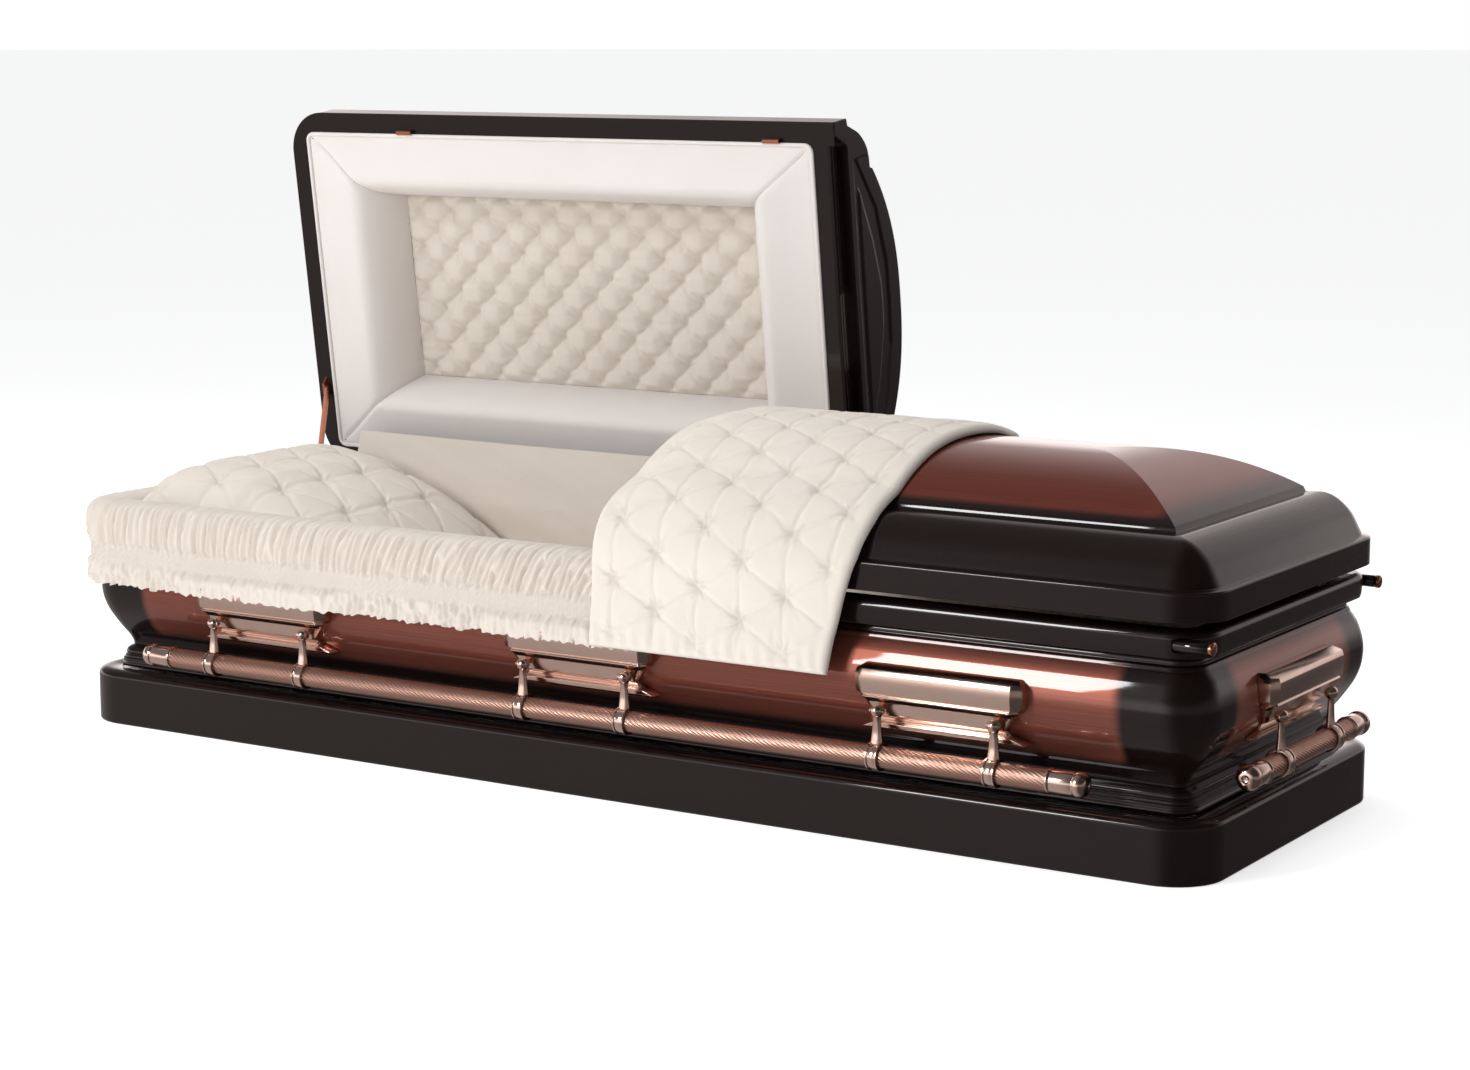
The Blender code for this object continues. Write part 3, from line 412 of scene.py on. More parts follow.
# what the gloss sees: a bright backdrop behind, a bright low band at the front left, dark above and below it
backGlow = maths(studio, "MULTIPLY", ramp(studio, wayY, 0.45, 0.95, 0.0, 0.50), ramp(studio, wayZ, -0.05, 0.10))
leftGlow = maths(studio, "MULTIPLY", ramp(studio, wayX, 0.35, -0.40, 0.16, 1.0),
                 ramp(studio, wayZ, 0.10, 0.30, 1.0, 0.13))
leftGlow = maths(studio, "MULTIPLY", leftGlow, ramp(studio, wayZ, -0.16, -0.02, 0.36, 1.25))
seen = maths(studio, "ADD", leftGlow, backGlow)
gloss, fill, backdrop = (addNode(studio, "ShaderNodeBackground", {"Color": colour, "Strength": strength}).outputs[0]
                         for colour, strength in (((1.0, 0.90, 0.88, 1.0), seen), ((0.97, 0.98, 1.0, 1.0), 0.36),
                                                  ((1.0, 1.0, 1.0, 1.0), 1.0)))
rays = addNode(studio, "ShaderNodeLightPath")
both = addNode(studio, "ShaderNodeMixShader", {0: rays.outputs["Is Glossy Ray"], 1: fill, 2: gloss}).outputs[0]
both = addNode(studio, "ShaderNodeMixShader", {0: rays.outputs["Is Camera Ray"], 1: both, 2: backdrop}).outputs[0]
addNode(studio, "ShaderNodeOutputWorld", {0: both})
print("studio ready")

# plinth, moulding, shell and rim: framed sections swept round the casket
plinth = {"sideReach": 0.0083, "endReach": 0.0018, "height": 0.0925, "edge": 0.0110}
moulding = {
    "foot": 0.0929,
    "keys": ((0.0372, 0.0000), (0.0372, 0.0046), (0.0385, 0.0081), (0.0385, 0.0131), (0.0420, 0.0146),
             (0.0420, 0.0181), (0.0452, 0.0196), (0.0440, 0.0236), (0.0455, 0.0286), (0.0515, 0.0326),
             (0.0592, 0.0352)),
}
shell = {
    "foot": 0.1285,
    "bulge": ((0.0578, 0.0000), (0.0566, 0.0065), (0.0500, 0.0185), (0.0405, 0.0300), (0.0260, 0.0500),
              (0.0147, 0.0688), (0.0075, 0.0895), (0.0053, 0.1145), (0.0088, 0.1355), (0.0164, 0.1568)),
    "neck": ((0.0235, 0.1675), (0.0275, 0.1725), (0.0290, 0.1780), (0.0330, 0.1805), (0.0330, 0.1933)),
}
rim = {
    "foot": 0.3222,
    "height": 0.0388,
    "face": ((0.0125, 0.0000), (0.0108, 0.0068), (0.0100, 0.0178), (0.0097, 0.0288), (0.0118, 0.0350)),
    "inner": 0.0473,
}
outline = (lid["halfLength"], lid["halfWidth"], lid["corner"])


def raised(keys, base):
    return [Vector((inset, base + height)) for inset, height in keys]


edge = plinth["edge"]
plinthKeys = [(0.090, 0.0), (0.0022, 0.0), (0.0, 0.0032), (0.0, plinth["height"] - edge)]
for step in range(1, 9):
    angle = math.radians(90 * step / 8)
    plinthKeys.append((1.6 * edge * (1 - math.cos(angle)), plinth["height"] - edge * (1 - math.sin(angle))))
plinthKeys += [(0.0815, plinth["height"]), (0.0815, plinth["height"] - lid["sheet"])]
plinthPath = eased(plinthKeys, [0, 0.0012, 0.0012, 0.0020] + [0] * 7 + [0.0010] + [0, 0], 3)
plinthLoops = frameLoops(plinthPath, lid["halfLength"] + plinth["endReach"], lid["halfWidth"] + plinth["sideReach"],
                         lid["corner"] + plinth["sideReach"], 18)
plinthForm = gridForm(plinthLoops, closeAcross=True)
capEnds(plinthForm)
finishPiece("plinth_tray", plinthForm, ebonyLacquer, "casket_body", ["plinth"])

mouldingKeys = raised(moulding["keys"], moulding["foot"])
mouldingTop = mouldingKeys[-1][1]
mouldingKeys += [Vector((0.0640, mouldingTop)), Vector((0.0640, moulding["foot"]))]
mouldingRadii = [0, 0.0012, 0.0010, 0.0014, 0.0012, 0.0014, 0.0012, 0.0030, 0.0030, 0.0030, 0.0004, 0, 0]
mouldingPath = eased(mouldingKeys, mouldingRadii, 4)
mouldingForm = gridForm(frameLoops(mouldingPath, *outline), closeAcross=True, closeAlong=True)
bmesh.ops.recalc_face_normals(mouldingForm, faces=mouldingForm.faces)
finishPiece("moulding_round", mouldingForm, ebonyLacquer, "casket_body", ["base_moulding"])

bulgePath = curveThrough(raised(shell["bulge"], shell["foot"]), 5)
neckKeys = [bulgePath[-1]] + raised(shell["neck"], shell["foot"])
neckPath = eased(neckKeys, [0, 0.0040, 0.0016, 0.0016, 0.0012, 0], 4, 0.0008)
shellPath = bulgePath[:-1] + neckPath
innerPath = [Vector((p[0] + lid["sheet"], p[1])) for p in reversed(shellPath[2:])]
floorHeight = shell["foot"] + lid["sheet"]
innerPath.append(Vector((shellPath[0][0] + lid["sheet"], floorHeight)))
shellForm = gridForm(frameLoops(shellPath + innerPath, *outline), closeAcross=True)
capEnds(shellForm)
finishPiece("shell_bulged", shellForm, shellLacquer, "casket_body", ["body_shell"])


def shellInset(height):
    # how far the shell's face lies inside the lid's face at a height
    heights = [p[1] for p in shellPath]
    return float(np.interp(height, heights, [p[0] for p in shellPath]))


rimTop = rim["foot"] + rim["height"]
rimKeys = [Vector((0.0305, rim["foot"]))] + raised(rim["face"], rim["foot"])
rimKeys += [Vector((0.0180, rimTop)), Vector((rim["inner"], rimTop)), Vector((rim["inner"], rim["foot"]))]
rimPath = eased(rimKeys, [0, 0.0018, 0.0020, 0.0020, 0.0020, 0.0040, 0.0040, 0.0016, 0], 4)
rimForm = gridForm(frameLoops(rimPath, *outline), closeAcross=True, closeAlong=True)
bmesh.ops.recalc_face_normals(rimForm, faces=rimForm.faces)
rimPiece = finishPiece("rim_band", rimForm, ebonyLacquer, "casket_body", ["body_rim"])

# corner tubes in round recesses of the rim
tube = {"inset": 0.0178, "drop": 0.0190, "radius": 0.0092, "length": 0.0520, "overhang": 0.0052,
        "capLength": 0.0080, "capRadius": 0.0100}
tubeEnd = lid["halfLength"] - tube["overhang"]
tubeZ = rimTop - tube["drop"]


def spunForm(profile, turn, steps=40):
    # a profile of (radius, distance) pairs spun about its axis, then laid in place
    bm = bmesh.new()
    verts = [bm.verts.new((radius, 0.0, distance)) for radius, distance in profile]
    for first, second in zip(verts[:-1], verts[1:]):
        bm.edges.new((first, second))
    bmesh.ops.spin(bm, geom=bm.verts[:] + bm.edges[:], cent=(0, 0, 0), axis=(0, 0, 1), angle=2 * math.pi,
                   steps=steps, use_merge=True, use_duplicate=False)
    bmesh.ops.remove_doubles(bm, verts=bm.verts, dist=1e-5)
    bmesh.ops.recalc_face_normals(bm, faces=bm.faces)
    bmesh.ops.transform(bm, matrix=turn, verts=bm.verts)
    return bm


layAlongX = Matrix.Rotation(math.pi / 2, 4, "Y")
for label, sign in (("front", -1), ("back", 1)):
    spot = Matrix.Translation((tubeEnd, sign * (lid["halfWidth"] - tube["inset"]), tubeZ)) @ layAlongX
    r, n = tube["capRadius"] + 0.0006, tube["length"] + 0.002
    cutForm = spunForm(((0.0, 0.03), (r, 0.03), (r, -n), (0.0, -n)), spot)
    cutMesh = bpy.data.meshes.new("tube_recess")
    cutForm.to_mesh(cutMesh)
    cutForm.free()
    cutter = bpy.data.objects.new("tube_recess", cutMesh)
    bpy.context.scene.collection.objects.link(cutter)
    cut = rimPiece.modifiers.new("recess_" + label, "BOOLEAN")
    cut.operation = "DIFFERENCE"
    cut.solver = "EXACT"
    cut.object = cutter
    graph = bpy.context.evaluated_depsgraph_get()
    cutDone = bpy.data.meshes.new_from_object(rimPiece.evaluated_get(graph))
    rimPiece.modifiers.clear()
    rimPiece.data = cutDone
    bpy.data.objects.remove(cutter, do_unlink=True)
    r, n = tube["radius"], tube["length"]
    tubeForm = spunForm(((0.0, 0.0), (r - 0.001, 0.0), (r, -0.001), (r, -n + 0.001), (r - 0.001, -n), (0.0, -n)),
                        spot)
    finishPiece("tube_" + label, tubeForm, tubeBlack, "casket_body", ["corner_tube_" + label])
    r, n = tube["capRadius"], tube["capLength"]
    capForm = spunForm(((0.0, n + 0.0004), (r * 0.55, n + 0.0002), (r - 0.0020, n - 0.0002), (r - 0.0006, n - 0.0010),
                        (r, n - 0.0024), (r, 0.0014), (r - 0.0010, 0.0006), (0.0, 0.0004)), spot)
    finishPiece("tube_cap_" + label, capForm, capCopper, "casket_body", ["corner_tube_cap_" + label])
print("plinth, moulding, shell and rim ready")

# lids: one section for both, cut at the split; heights are above the lid's underside
shoulderKeys = ((0.0130, 0.0452), (0.0180, 0.0560), (0.0300, 0.0790), (0.0449, 0.0950), (0.0600, 0.1050),
                (0.0750, 0.1095), (0.0890, 0.1108))


def domeHeight(inset):
    reach = (lid["halfWidth"] - inset) / (lid["halfWidth"] - lid["domeFoot"][0])
    return lid["domeFoot"][1] + (lid["crown"] - lid["domeFoot"][1]) * (1 - abs(reach) ** lid["domePower"])


lowKeys = [(lid["flange"], 0.0), (0.0, 0.0), (0.0, lid["bandHeight"]), (0.0122, 0.0447), shoulderKeys[0]]
lowPath = eased(lowKeys, [0, 0.0012, 0.0028, 0.0014, 0], 5)
shoulderPath = curveThrough(shoulderKeys, 6)
stepKeys = [shoulderPath[-1], (0.0938, 0.1110), lid["domeFoot"], (0.1010, domeHeight(0.1010))]
stepPath = eased(stepKeys, [0, 0.0022, 0.0024, 0], 5, 0.0008)
domeInsets = lid["halfWidth"] - (lid["halfWidth"] - 0.1010) * np.linspace(1, 0, 40) ** 1.15
domePath = [Vector((inset, domeHeight(inset))) for inset in domeInsets]
lidPath = lowPath[:-1] + shoulderPath[:-1] + stepPath[:-1] + domePath
lidTop = [p for p in lidPath if p[1] > lid["bandHeight"] - 0.004]

wall = {
    "rebateWidth": 0.0160, "rebateHeight": 0.0400, "rebateHalf": 0.3120, "rebateSlant": 0.6,
    "arch": ((0.0, 0.1500), (0.071, 0.1480), (0.171, 0.1220), (0.262, 0.0650)),
    "lensTop": ((0.0, 0.1290), (0.040, 0.1270), (0.120, 0.1060), (0.194, 0.0770), (0.212, 0.0690)),
    "lensFoot": 0.0690,
    "relief": 0.0026,
    "soft": 0.0022,
}


def endWall(side, split, rebated):
    # the panel that closes a lid at the split, with a sunk arch round a flush lens; the head lid's has a rebate too
    edgeCut = lid["edge"]
    half = [0.0, edgeCut] + [p[0] for p in lidTop if p[0] > edgeCut + 0.0004]
    topInsets, topHeights = [p[0] for p in lidTop], [p[1] for p in lidTop]
    tops = [lid["bandHeight"]] + [float(np.interp(inset, topInsets, topHeights)) for inset in half[1:]]
    spread = np.interp(np.linspace(0, len(half) - 1, 110), range(len(half)), half)
    extra = [lid["halfWidth"] - y for y in np.arange(0.006, 0.326, 0.004)]
    insets = np.array(sorted(set(np.round(list(half) + list(spread) + extra, 6))))
    heights = np.interp(insets, half, tops)
    y = np.concatenate([-(lid["halfWidth"] - insets), (lid["halfWidth"] - insets)[::-1][1:]])
    top = np.concatenate([heights, heights[::-1][1:]])
    levels = [0.0, edgeCut, 0.006, 0.0110, 0.0125, 0.0140, 0.0155, 0.0195, 0.0210, 0.0225, 0.0240, 0.030, 0.0360,
              wall["rebateHeight"] - 0.0002, wall["rebateHeight"], lid["bandHeight"] - edgeCut]
    upper = np.linspace(0, 1, 46)[1:]
    rows = [np.full_like(y, level) for level in levels]
    rows += [levels[-1] + (top - edgeCut - levels[-1]) * share for share in upper]
    rows.append(top)
    z = np.array(rows)
    grown = np.broadcast_to(y, z.shape)
    out = np.zeros_like(z)
    far = np.abs(grown)
    archY, archZ = zip(*wall["arch"])
    lensY, lensZ = zip(*wall["lensTop"])
    soft = wall["soft"]
    aboveArch = np.where(far < archY[-1], smoothStep(-soft, soft, z - np.interp(far, archY, archZ)),
                         smoothStep(archY[-1] - soft, archY[-1] + soft, far))
    lens = smoothStep(-soft, soft, np.interp(far, lensY, lensZ, right=-1) - z) * (far < lensY[-1])
    lens = lens * smoothStep(-soft, soft, z - wall["lensFoot"])
    low = smoothStep(wall["lensFoot"] - 0.012 - soft, wall["lensFoot"] - 0.012 + soft, z)
    out -= wall["relief"] * low * (1 - aboveArch) * (1 - lens)
    if rebated:
        reach = wall["rebateHalf"] - wall["rebateSlant"] * z
        inside = (z < wall["rebateHeight"] - 0.0001) * smoothStep(0.0, 0.003, reach - far)
        rib = 0.0022 * (((z > 0.0120) & (z < 0.0150)) | ((z > 0.0200) & (z < 0.0230)))
        out -= inside * (wall["rebateWidth"] - rib)
    border = (z > top - 1e-5) | (z < 1e-6) | (far > lid["halfWidth"] - 1e-5)
    out = np.where(border, np.minimum(out, -edgeCut), out)
    points = np.stack([split - side * out, grown, lid["underside"] + z], axis=2)
    return gridForm(points)


def lidForm(side, split):
    loops = frameLoops([Vector((p[0], lid["underside"] + p[1])) for p in lidPath], *outline)
    bm = gridForm(loops, closeAcross=True, weld=2e-5)
    bmesh.ops.recalc_face_normals(bm, faces=bm.faces)
    cutAt = split + side * lid["edge"]
    bmesh.ops.bisect_plane(bm, geom=bm.verts[:] + bm.edges[:] + bm.faces[:], dist=1e-6, plane_co=(cutAt, 0, 0),
                           plane_no=(-side, 0, 0), clear_outer=True, clear_inner=False)
    return bm


for name, side, split, rebated, body, material, turn in (
        ("head", -1, lid["split"], True, "head_lid", openDomeLacquer, openTurn),
        ("foot", 1, lid["split"] + lid["splitGap"], False, "foot_lid", domeLacquer, None)):
    outer = lidForm(side, split)
    inner = outer.copy()
    for vert in inner.verts:
        vert.co = vert.co - vert.normal * lid["sheet"]
    bmesh.ops.reverse_faces(inner, faces=inner.faces)
    panel = endWall(side, split, rebated)
    turnToward(panel, (-side, 0, 0))
    shut = rebated * wall["rebateWidth"]
    strip = bmesh.new()
    bmesh.ops.create_cube(strip, size=1.0)
    low = split + side * (shut + 0.0002)
    high = split + side * lid["flangeSplit"]
    size = (abs(high - low), 2 * (lid["halfWidth"] - lid["flange"]), lid["sheet"])
    bmesh.ops.scale(strip, vec=size, verts=strip.verts)
    bmesh.ops.translate(strip, vec=((low + high) / 2, 0, lid["underside"] + lid["sheet"] / 2), verts=strip.verts)
    whole = joinForms([outer, inner, panel, strip])
    finishPiece(name + "_lid_pressed", whole, material, body,
                [name + "_lid_shell"], turn, flat=40)
print("lids ready")

# cloth
clothLook = {
    "throw": "#e2dad0",
    "crepe": "#dfd6cc",
    "velvet": "#e2dcd9",
    "tufted": "#ddd5ca",
    "weave": 0.0012,   # threads are drawn about twice as coarse as real ones, so that they show at all
}


def clothMaterial(name, code, sheen, bumpStrength, crinkle):
    # woven polyester crepe or velvet; it gives the eye matt creamy cloth with faint thread grain and soft edge glow
    material, tree, shader = startMaterial(name, Roughness=0.88, Specular_IOR_Level=0.2, Sheen_Weight=sheen,
                                           Sheen_Roughness=0.45)
    place = addNode(tree, "ShaderNodeTexCoord").outputs["Object"]
    shade = toLinear(code)
    deep = tuple(c * k for c, k in zip(shade[:3], (0.95, 0.935, 0.915))) + (1.0,)
    tree.links.new(mixColours(tree, noiseAt(tree, place, 9.0, 3.0), shade, deep), shader.inputs["Base Color"])
    thread = 2 * math.pi / clothLook["weave"]
    x, y, z = addNode(tree, "ShaderNodeSeparateXYZ", {0: place}).outputs
    across = maths(tree, "SINE", maths(tree, "MULTIPLY", x, thread))
    up = maths(tree, "SINE", maths(tree, "MULTIPLY", maths(tree, "ADD", y, z), thread))
    fold = maths(tree, "MULTIPLY", noiseAt(tree, place, crinkle, 5.0, 0.6), 6.0)
    addBump(tree, shader, maths(tree, "ADD", fold, maths(tree, "MULTIPLY", across, up)), bumpStrength, 0.0004)
    return material


throwCloth = clothMaterial("crepe_throw_quilted", clothLook["throw"], 0.10, 0.35, 60.0)
crepeCloth = clothMaterial("crepe_lining_gathered", clothLook["crepe"], 0.12, 0.45, 70.0)
velvetCloth = clothMaterial("velvet_roll_smooth", clothLook["velvet"], 0.18, 0.15, 45.0)
tuftCloth = clothMaterial("crepe_panel_button_tufted", clothLook["tufted"], 0.10, 0.35, 60.0)

quilt = {
    "pitch": 0.0880,       # between neighbouring stitches
    "columns": 11,
    "rows": 6,             # each two stitch rows deep
    "step": 0.0050,
    "grow": -0.075,        # spare cloth, drawn in by the stitches
    "pressure": 9.0,
    "frames": 22,
    "highest": 0.0130,
}
rowPitch = quilt["pitch"] * math.sqrt(3) / 2


def nearStitch(u, v):
    # offset from the nearest point of the stitch lattice
    best = None
    for shift in (0.0, 0.5):
        column = np.round(u / quilt["pitch"] - shift) + shift
        row = np.round(v / (2 * rowPitch) - shift) + shift
        du, dv = u - column * quilt["pitch"], v - row * 2 * rowPitch
        far = np.hypot(du, dv)
        found = (du, dv, far)
        best = found if best is None else tuple(np.where(far < best[2], a, b) for a, b in zip(found, best))
    return best


def simulateQuilt():
    # one flat panel of spare cloth, held at its stitches and filled from below; quilted pieces take their folds
    # from it
    width, depth = quilt["columns"] * quilt["pitch"], quilt["rows"] * 2 * rowPitch
    countU, countV = round(width / quilt["step"]) + 1, round(depth / quilt["step"]) + 1
    u, v = np.meshgrid(np.linspace(0, width, countU), np.linspace(0, depth, countV))
    flat = np.stack([u, v, np.zeros_like(u)], axis=2)
    bm = gridForm(flat, weld=0)
    mesh = bpy.data.meshes.new("quilt_panel")
    bm.to_mesh(mesh)
    bm.free()
    panel = bpy.data.objects.new("quilt_panel", mesh)
    bpy.context.scene.collection.objects.link(panel)
    far = nearStitch(u, v)[2].reshape(-1)
    edge = ((u < 1e-6) | (u > width - 1e-6) | (v < 1e-6) | (v > depth - 1e-6)).reshape(-1)
    held = panel.vertex_groups.new(name="stitches")
    held.add([int(i) for i in np.nonzero((far < 0.0046) | edge)[0]], 1.0, "REPLACE")
    cloth = panel.modifiers.new("cloth", "CLOTH")
    settings = cloth.settings
    settings.quality = 5
    settings.mass = 0.2
    settings.tension_stiffness = 18
    settings.compression_stiffness = 18
    settings.shear_stiffness = 6
    settings.bending_stiffness = 0.12
    settings.vertex_group_mass = "stitches"
    settings.use_pressure = True
    settings.uniform_pressure_force = quilt["pressure"]
    settings.shrink_min = quilt["grow"]
    settings.effector_weights.gravity = 0
    cloth.collision_settings.use_collision = False
    scene = bpy.context.scene
    scene.frame_start, scene.frame_end = 1, quilt["frames"]
    for frameNumber in range(1, quilt["frames"] + 1):
        scene.frame_set(frameNumber)
    done = panel.evaluated_get(bpy.context.evaluated_depsgraph_get()).data
    places = np.empty(len(done.vertices) * 3)
    done.vertices.foreach_get("co", places)
    scene.frame_set(1)
    bpy.data.objects.remove(panel, do_unlink=True)
    move = places.reshape(flat.shape) - flat
    if move[:, :, 2].mean() < 0:
        move[:, :, 2] *= -1
    return np.clip(move, -quilt["highest"], quilt["highest"])


quiltMove = simulateQuilt()
print("quilted cloth simulated, highest puff", round(float(quiltMove[:, :, 2].max()), 4))


def quiltAt(u, v):
    # the folds at a place on the panel, between its points
    countV, countU = quiltMove.shape[:2]
    across = round(quilt["columns"] * quilt["pitch"] / quilt["step"])
    a = np.clip(u / quilt["step"] * (countU - 1) / across, 0, countU - 1.001)
    b = np.clip(v / (quilt["rows"] * 2 * rowPitch) * (countV - 1), 0, countV - 1.001)
    i, j = a.astype(int), b.astype(int)
    s, t = (a - i)[..., None], (b - j)[..., None]
    return (quiltMove[j, i] * (1 - s) * (1 - t) + quiltMove[j, i + 1] * s * (1 - t)
            + quiltMove[j + 1, i] * (1 - s) * t + quiltMove[j + 1, i + 1] * s * t)


def creaseAt(u, v, depth, width):
    # sharp valleys along the three lines through each stitch, with a dimple and short rays at the stitch
    du, dv, far = nearStitch(u, v)
    wander = 0.0010 * np.sin(u * 61 + v * 37) + 0.0007 * np.sin(v * 113 - u * 71)
    total = np.zeros_like(u)
    for angle in triangle:
        reach = -math.sin(angle) * u + math.cos(angle) * v
        off = reach / rowPitch
        off = np.abs((off - np.round(off)) * rowPitch + wander)
        total = np.maximum(total, np.exp(-off / width) - 0.25 * np.exp(-((off - 3.2 * width) / (1.3 * width)) ** 2))
    turnings = np.arctan2(dv, du)
    rays = 0.0019 * np.cos(12 * turnings + 1.3 * np.sin(u * 23 + v * 31)) * np.exp(-((far - 0.011) / 0.009) ** 2)
    return -depth * total * (0.55 + 0.60 * np.exp(-far / 0.022)) + rays - 0.0022 * np.exp(-(far / 0.0055) ** 2)


triangle = (0.0, math.radians(60), math.radians(120))


def surfaceNormals(points):
    along = np.gradient(points, axis=0)
    across = np.gradient(points, axis=1)
    normals = np.cross(across, along)
    return normals / np.maximum(np.linalg.norm(normals, axis=2, keepdims=True), 1e-9)


def pathGrid(keys, step):
    # evenly spaced points along a smooth path through the keys
    fine = np.array([tuple(p) for p in curveThrough(keys, 24)])
    length = np.concatenate([[0], np.cumsum(np.linalg.norm(np.diff(fine, axis=0), axis=1))])
    even = np.linspace(0, length[-1], max(int(length[-1] / step), 2))
    return np.stack([np.interp(even, length, fine[:, k]) for k in range(fine.shape[1])], axis=1), even


def closedSheet(top, thickness, inward):
    # a sheet with a rolled edge: the upper points, and the same points moved in, joined along the rim
    rows, columns = top.shape[:2]
    under = top + inward * thickness[..., None]
    edgeShare = np.ones((rows, columns))
    edgeShare[0], edgeShare[-1] = 0.0, 0.0
    edgeShare[:, 0], edgeShare[:, -1] = 0.0, 0.0
    middle = (top + under) / 2
    topPoints = np.where(edgeShare[..., None] > 0, top, middle)
    underPoints = np.where(edgeShare[..., None] > 0, under, middle)
    above = gridForm(topPoints, weld=0)
    below = gridForm(underPoints, weld=0)
    bmesh.ops.reverse_faces(below, faces=below.faces)
    whole = joinForms([above, below])
    bmesh.ops.remove_doubles(whole, verts=whole.verts, dist=1e-6)
    bmesh.ops.recalc_face_normals(whole, faces=whole.faces)
    return whole


# the quilted throw over the foot lid
throw = {
    "left": 0.0370,
    "right": ((0.248, 0.4610), (0.300, 0.4690), (0.361, 0.4830), (0.423, 0.5000), (0.470, 0.5060), (0.600, 0.5060)),
    "hem": 0.2470,
    "back": 0.1600,
    "pad": 0.0120,
    "step": 0.0027,
}
throwKeys = [(-0.3590, throw["hem"]), (-0.3585, 0.2560), (-0.3555, 0.2850), (-0.3500, 0.3300), (-0.3480, 0.3800),
             (-0.3440, 0.4100), (-0.3300, 0.4380), (-0.3105, 0.4600), (-0.2850, 0.4800), (-0.2560, 0.4940)]
for across in (-0.225, -0.200, -0.170, -0.135, -0.095, -0.050, 0.0, 0.050, 0.100, throw["back"]):
    throwKeys.append((across, lid["underside"] + domeHeight(lid["halfWidth"] - abs(across)) + 0.0035))
throwPath, throwRun = pathGrid(throwKeys, throw["step"])
rightEdge = np.interp(throwPath[:, 1], *zip(*throw["right"]))
rightEdge = np.where(throwPath[:, 0] > 0, rightEdge + 0.02 * throwPath[:, 0], rightEdge)
shares = np.linspace(0, 1, round(0.45 / throw["step"]))
x = throw["left"] + (rightEdge[:, None] - throw["left"]) * shares[None, :]
base = np.stack([x, *(np.repeat(throwPath[:, k:k + 1], len(shares), 1) for k in (0, 1))], axis=2)
rise = throwPath[:, 1][:, None]
droop = smoothStep(0.115, 0.035, x) * smoothStep(0.44, 0.50, rise)
base[:, :, 2] -= 0.014 * droop
normals = surfaceNormals(base)
if normals[len(base) // 2, len(shares) // 2, 2] < 0:
    normals = -normals
u = np.repeat(throwRun[:, None], len(shares), 1) + 0.020
v = x - throw["left"] + 0.030
move = quiltAt(u, v)
along = np.gradient(base, axis=0)
along /= np.linalg.norm(along, axis=2, keepdims=True)
low = np.minimum(throwRun, throwRun[-1] - throwRun)[:, None]
side = np.minimum(x - throw["left"], rightEdge[:, None] - x)
rim = np.minimum(low, side)
edgeSoft = np.sqrt(np.clip(rim / 0.012, 0, 1) * (2 - np.clip(rim / 0.012, 0, 1)))
inner = smoothStep(0.0, 0.045, rim)
puff = throw["pad"] + inner * (move[:, :, 2] * 0.30 + creaseAt(u, v, 0.0036, 0.0030)) + (1 - inner) * 0.0010
gather = 0.0016 * np.sin(v * 260 + 3 * np.sin(u * 31)) * np.exp(-low / 0.030)
puff = (puff + gather) * edgeSoft
top = base + normals * puff[..., None] + along * (move[:, :, :1] * inner[..., None] * 0.4)
top[:, :, 0] += move[:, :, 1] * inner * 0.4
throwForm = closedSheet(top, np.maximum(puff, 0.0004), -normals)
throwPiece = finishPiece("throw_quilted", throwForm, throwCloth, "foot_lid", ["foot_throw"])
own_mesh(throwPiece)
print("throw ready")

# pillow, highest at the head
pillow = {"low": (-0.984, -0.264), "high": (-0.529, 0.264), "foot": 0.2115, "step": 0.0042, "scale": 0.80}
cx, cy = ((a + b) / 2 for a, b in zip(pillow["low"], pillow["high"]))
ax, ay = ((b - a) / 2 - 0.003 for a, b in zip(pillow["low"], pillow["high"]))
su = 0.25 * np.sin(np.linspace(-1, 1, 170) * math.pi / 2) + 0.75 * np.linspace(-1, 1, 170)
sv = 0.25 * np.sin(np.linspace(-1, 1, 200) * math.pi / 2) + 0.75 * np.linspace(-1, 1, 200)
gu, gv = np.meshgrid(su, sv)
x = cx + ax * gu * (1 - 0.020 * (1 - gv ** 2))
y = cy + ay * gv * (1 - 0.030 * (1 - gu ** 2))
seam = np.interp(gu, [-1, -0.2, 1], [0.372, 0.322, 0.238])
crown = np.interp(gu, [-1, -0.75, -0.2, 0.4, 1], [0.066, 0.080, 0.096, 0.084, 0.040])
roundness = np.sqrt(np.clip((1 - np.abs(gu) ** np.where(gu < 0, 9.0, 3.4)) * (1 - np.abs(gv) ** 5.0), 0, 1))
topZ = seam + crown * roundness
bottomZ = seam - np.minimum((seam - pillow["foot"]) * np.clip(roundness * 2.2, 0, 1), seam - pillow["foot"])
upper = np.stack([x, y, topZ], axis=2)
normals = surfaceNormals(upper)
if normals[90, 80, 2] < 0:
    normals = -normals
u, v = (y - pillow["low"][1]) * pillow["scale"] + 0.03, (x - pillow["low"][0]) * pillow["scale"] + 0.05
move = quiltAt(u, v)
inner = np.clip(roundness * 1.8, 0, 1)
fold = (move[:, :, 2] * 0.45 + creaseAt(u, v, 0.0040, 0.0030)) * inner
upper = upper + normals * fold[..., None]
lower = np.stack([x, y, bottomZ], axis=2)
lower[0], lower[-1], lower[:, 0], lower[:, -1] = upper[0], upper[-1], upper[:, 0], upper[:, -1]
above, below = gridForm(upper, weld=0), gridForm(lower, weld=0)
pillowForm = joinForms([above, below])
bmesh.ops.remove_doubles(pillowForm, verts=pillowForm.verts, dist=1e-6)
bmesh.ops.recalc_face_normals(pillowForm, faces=pillowForm.faces)
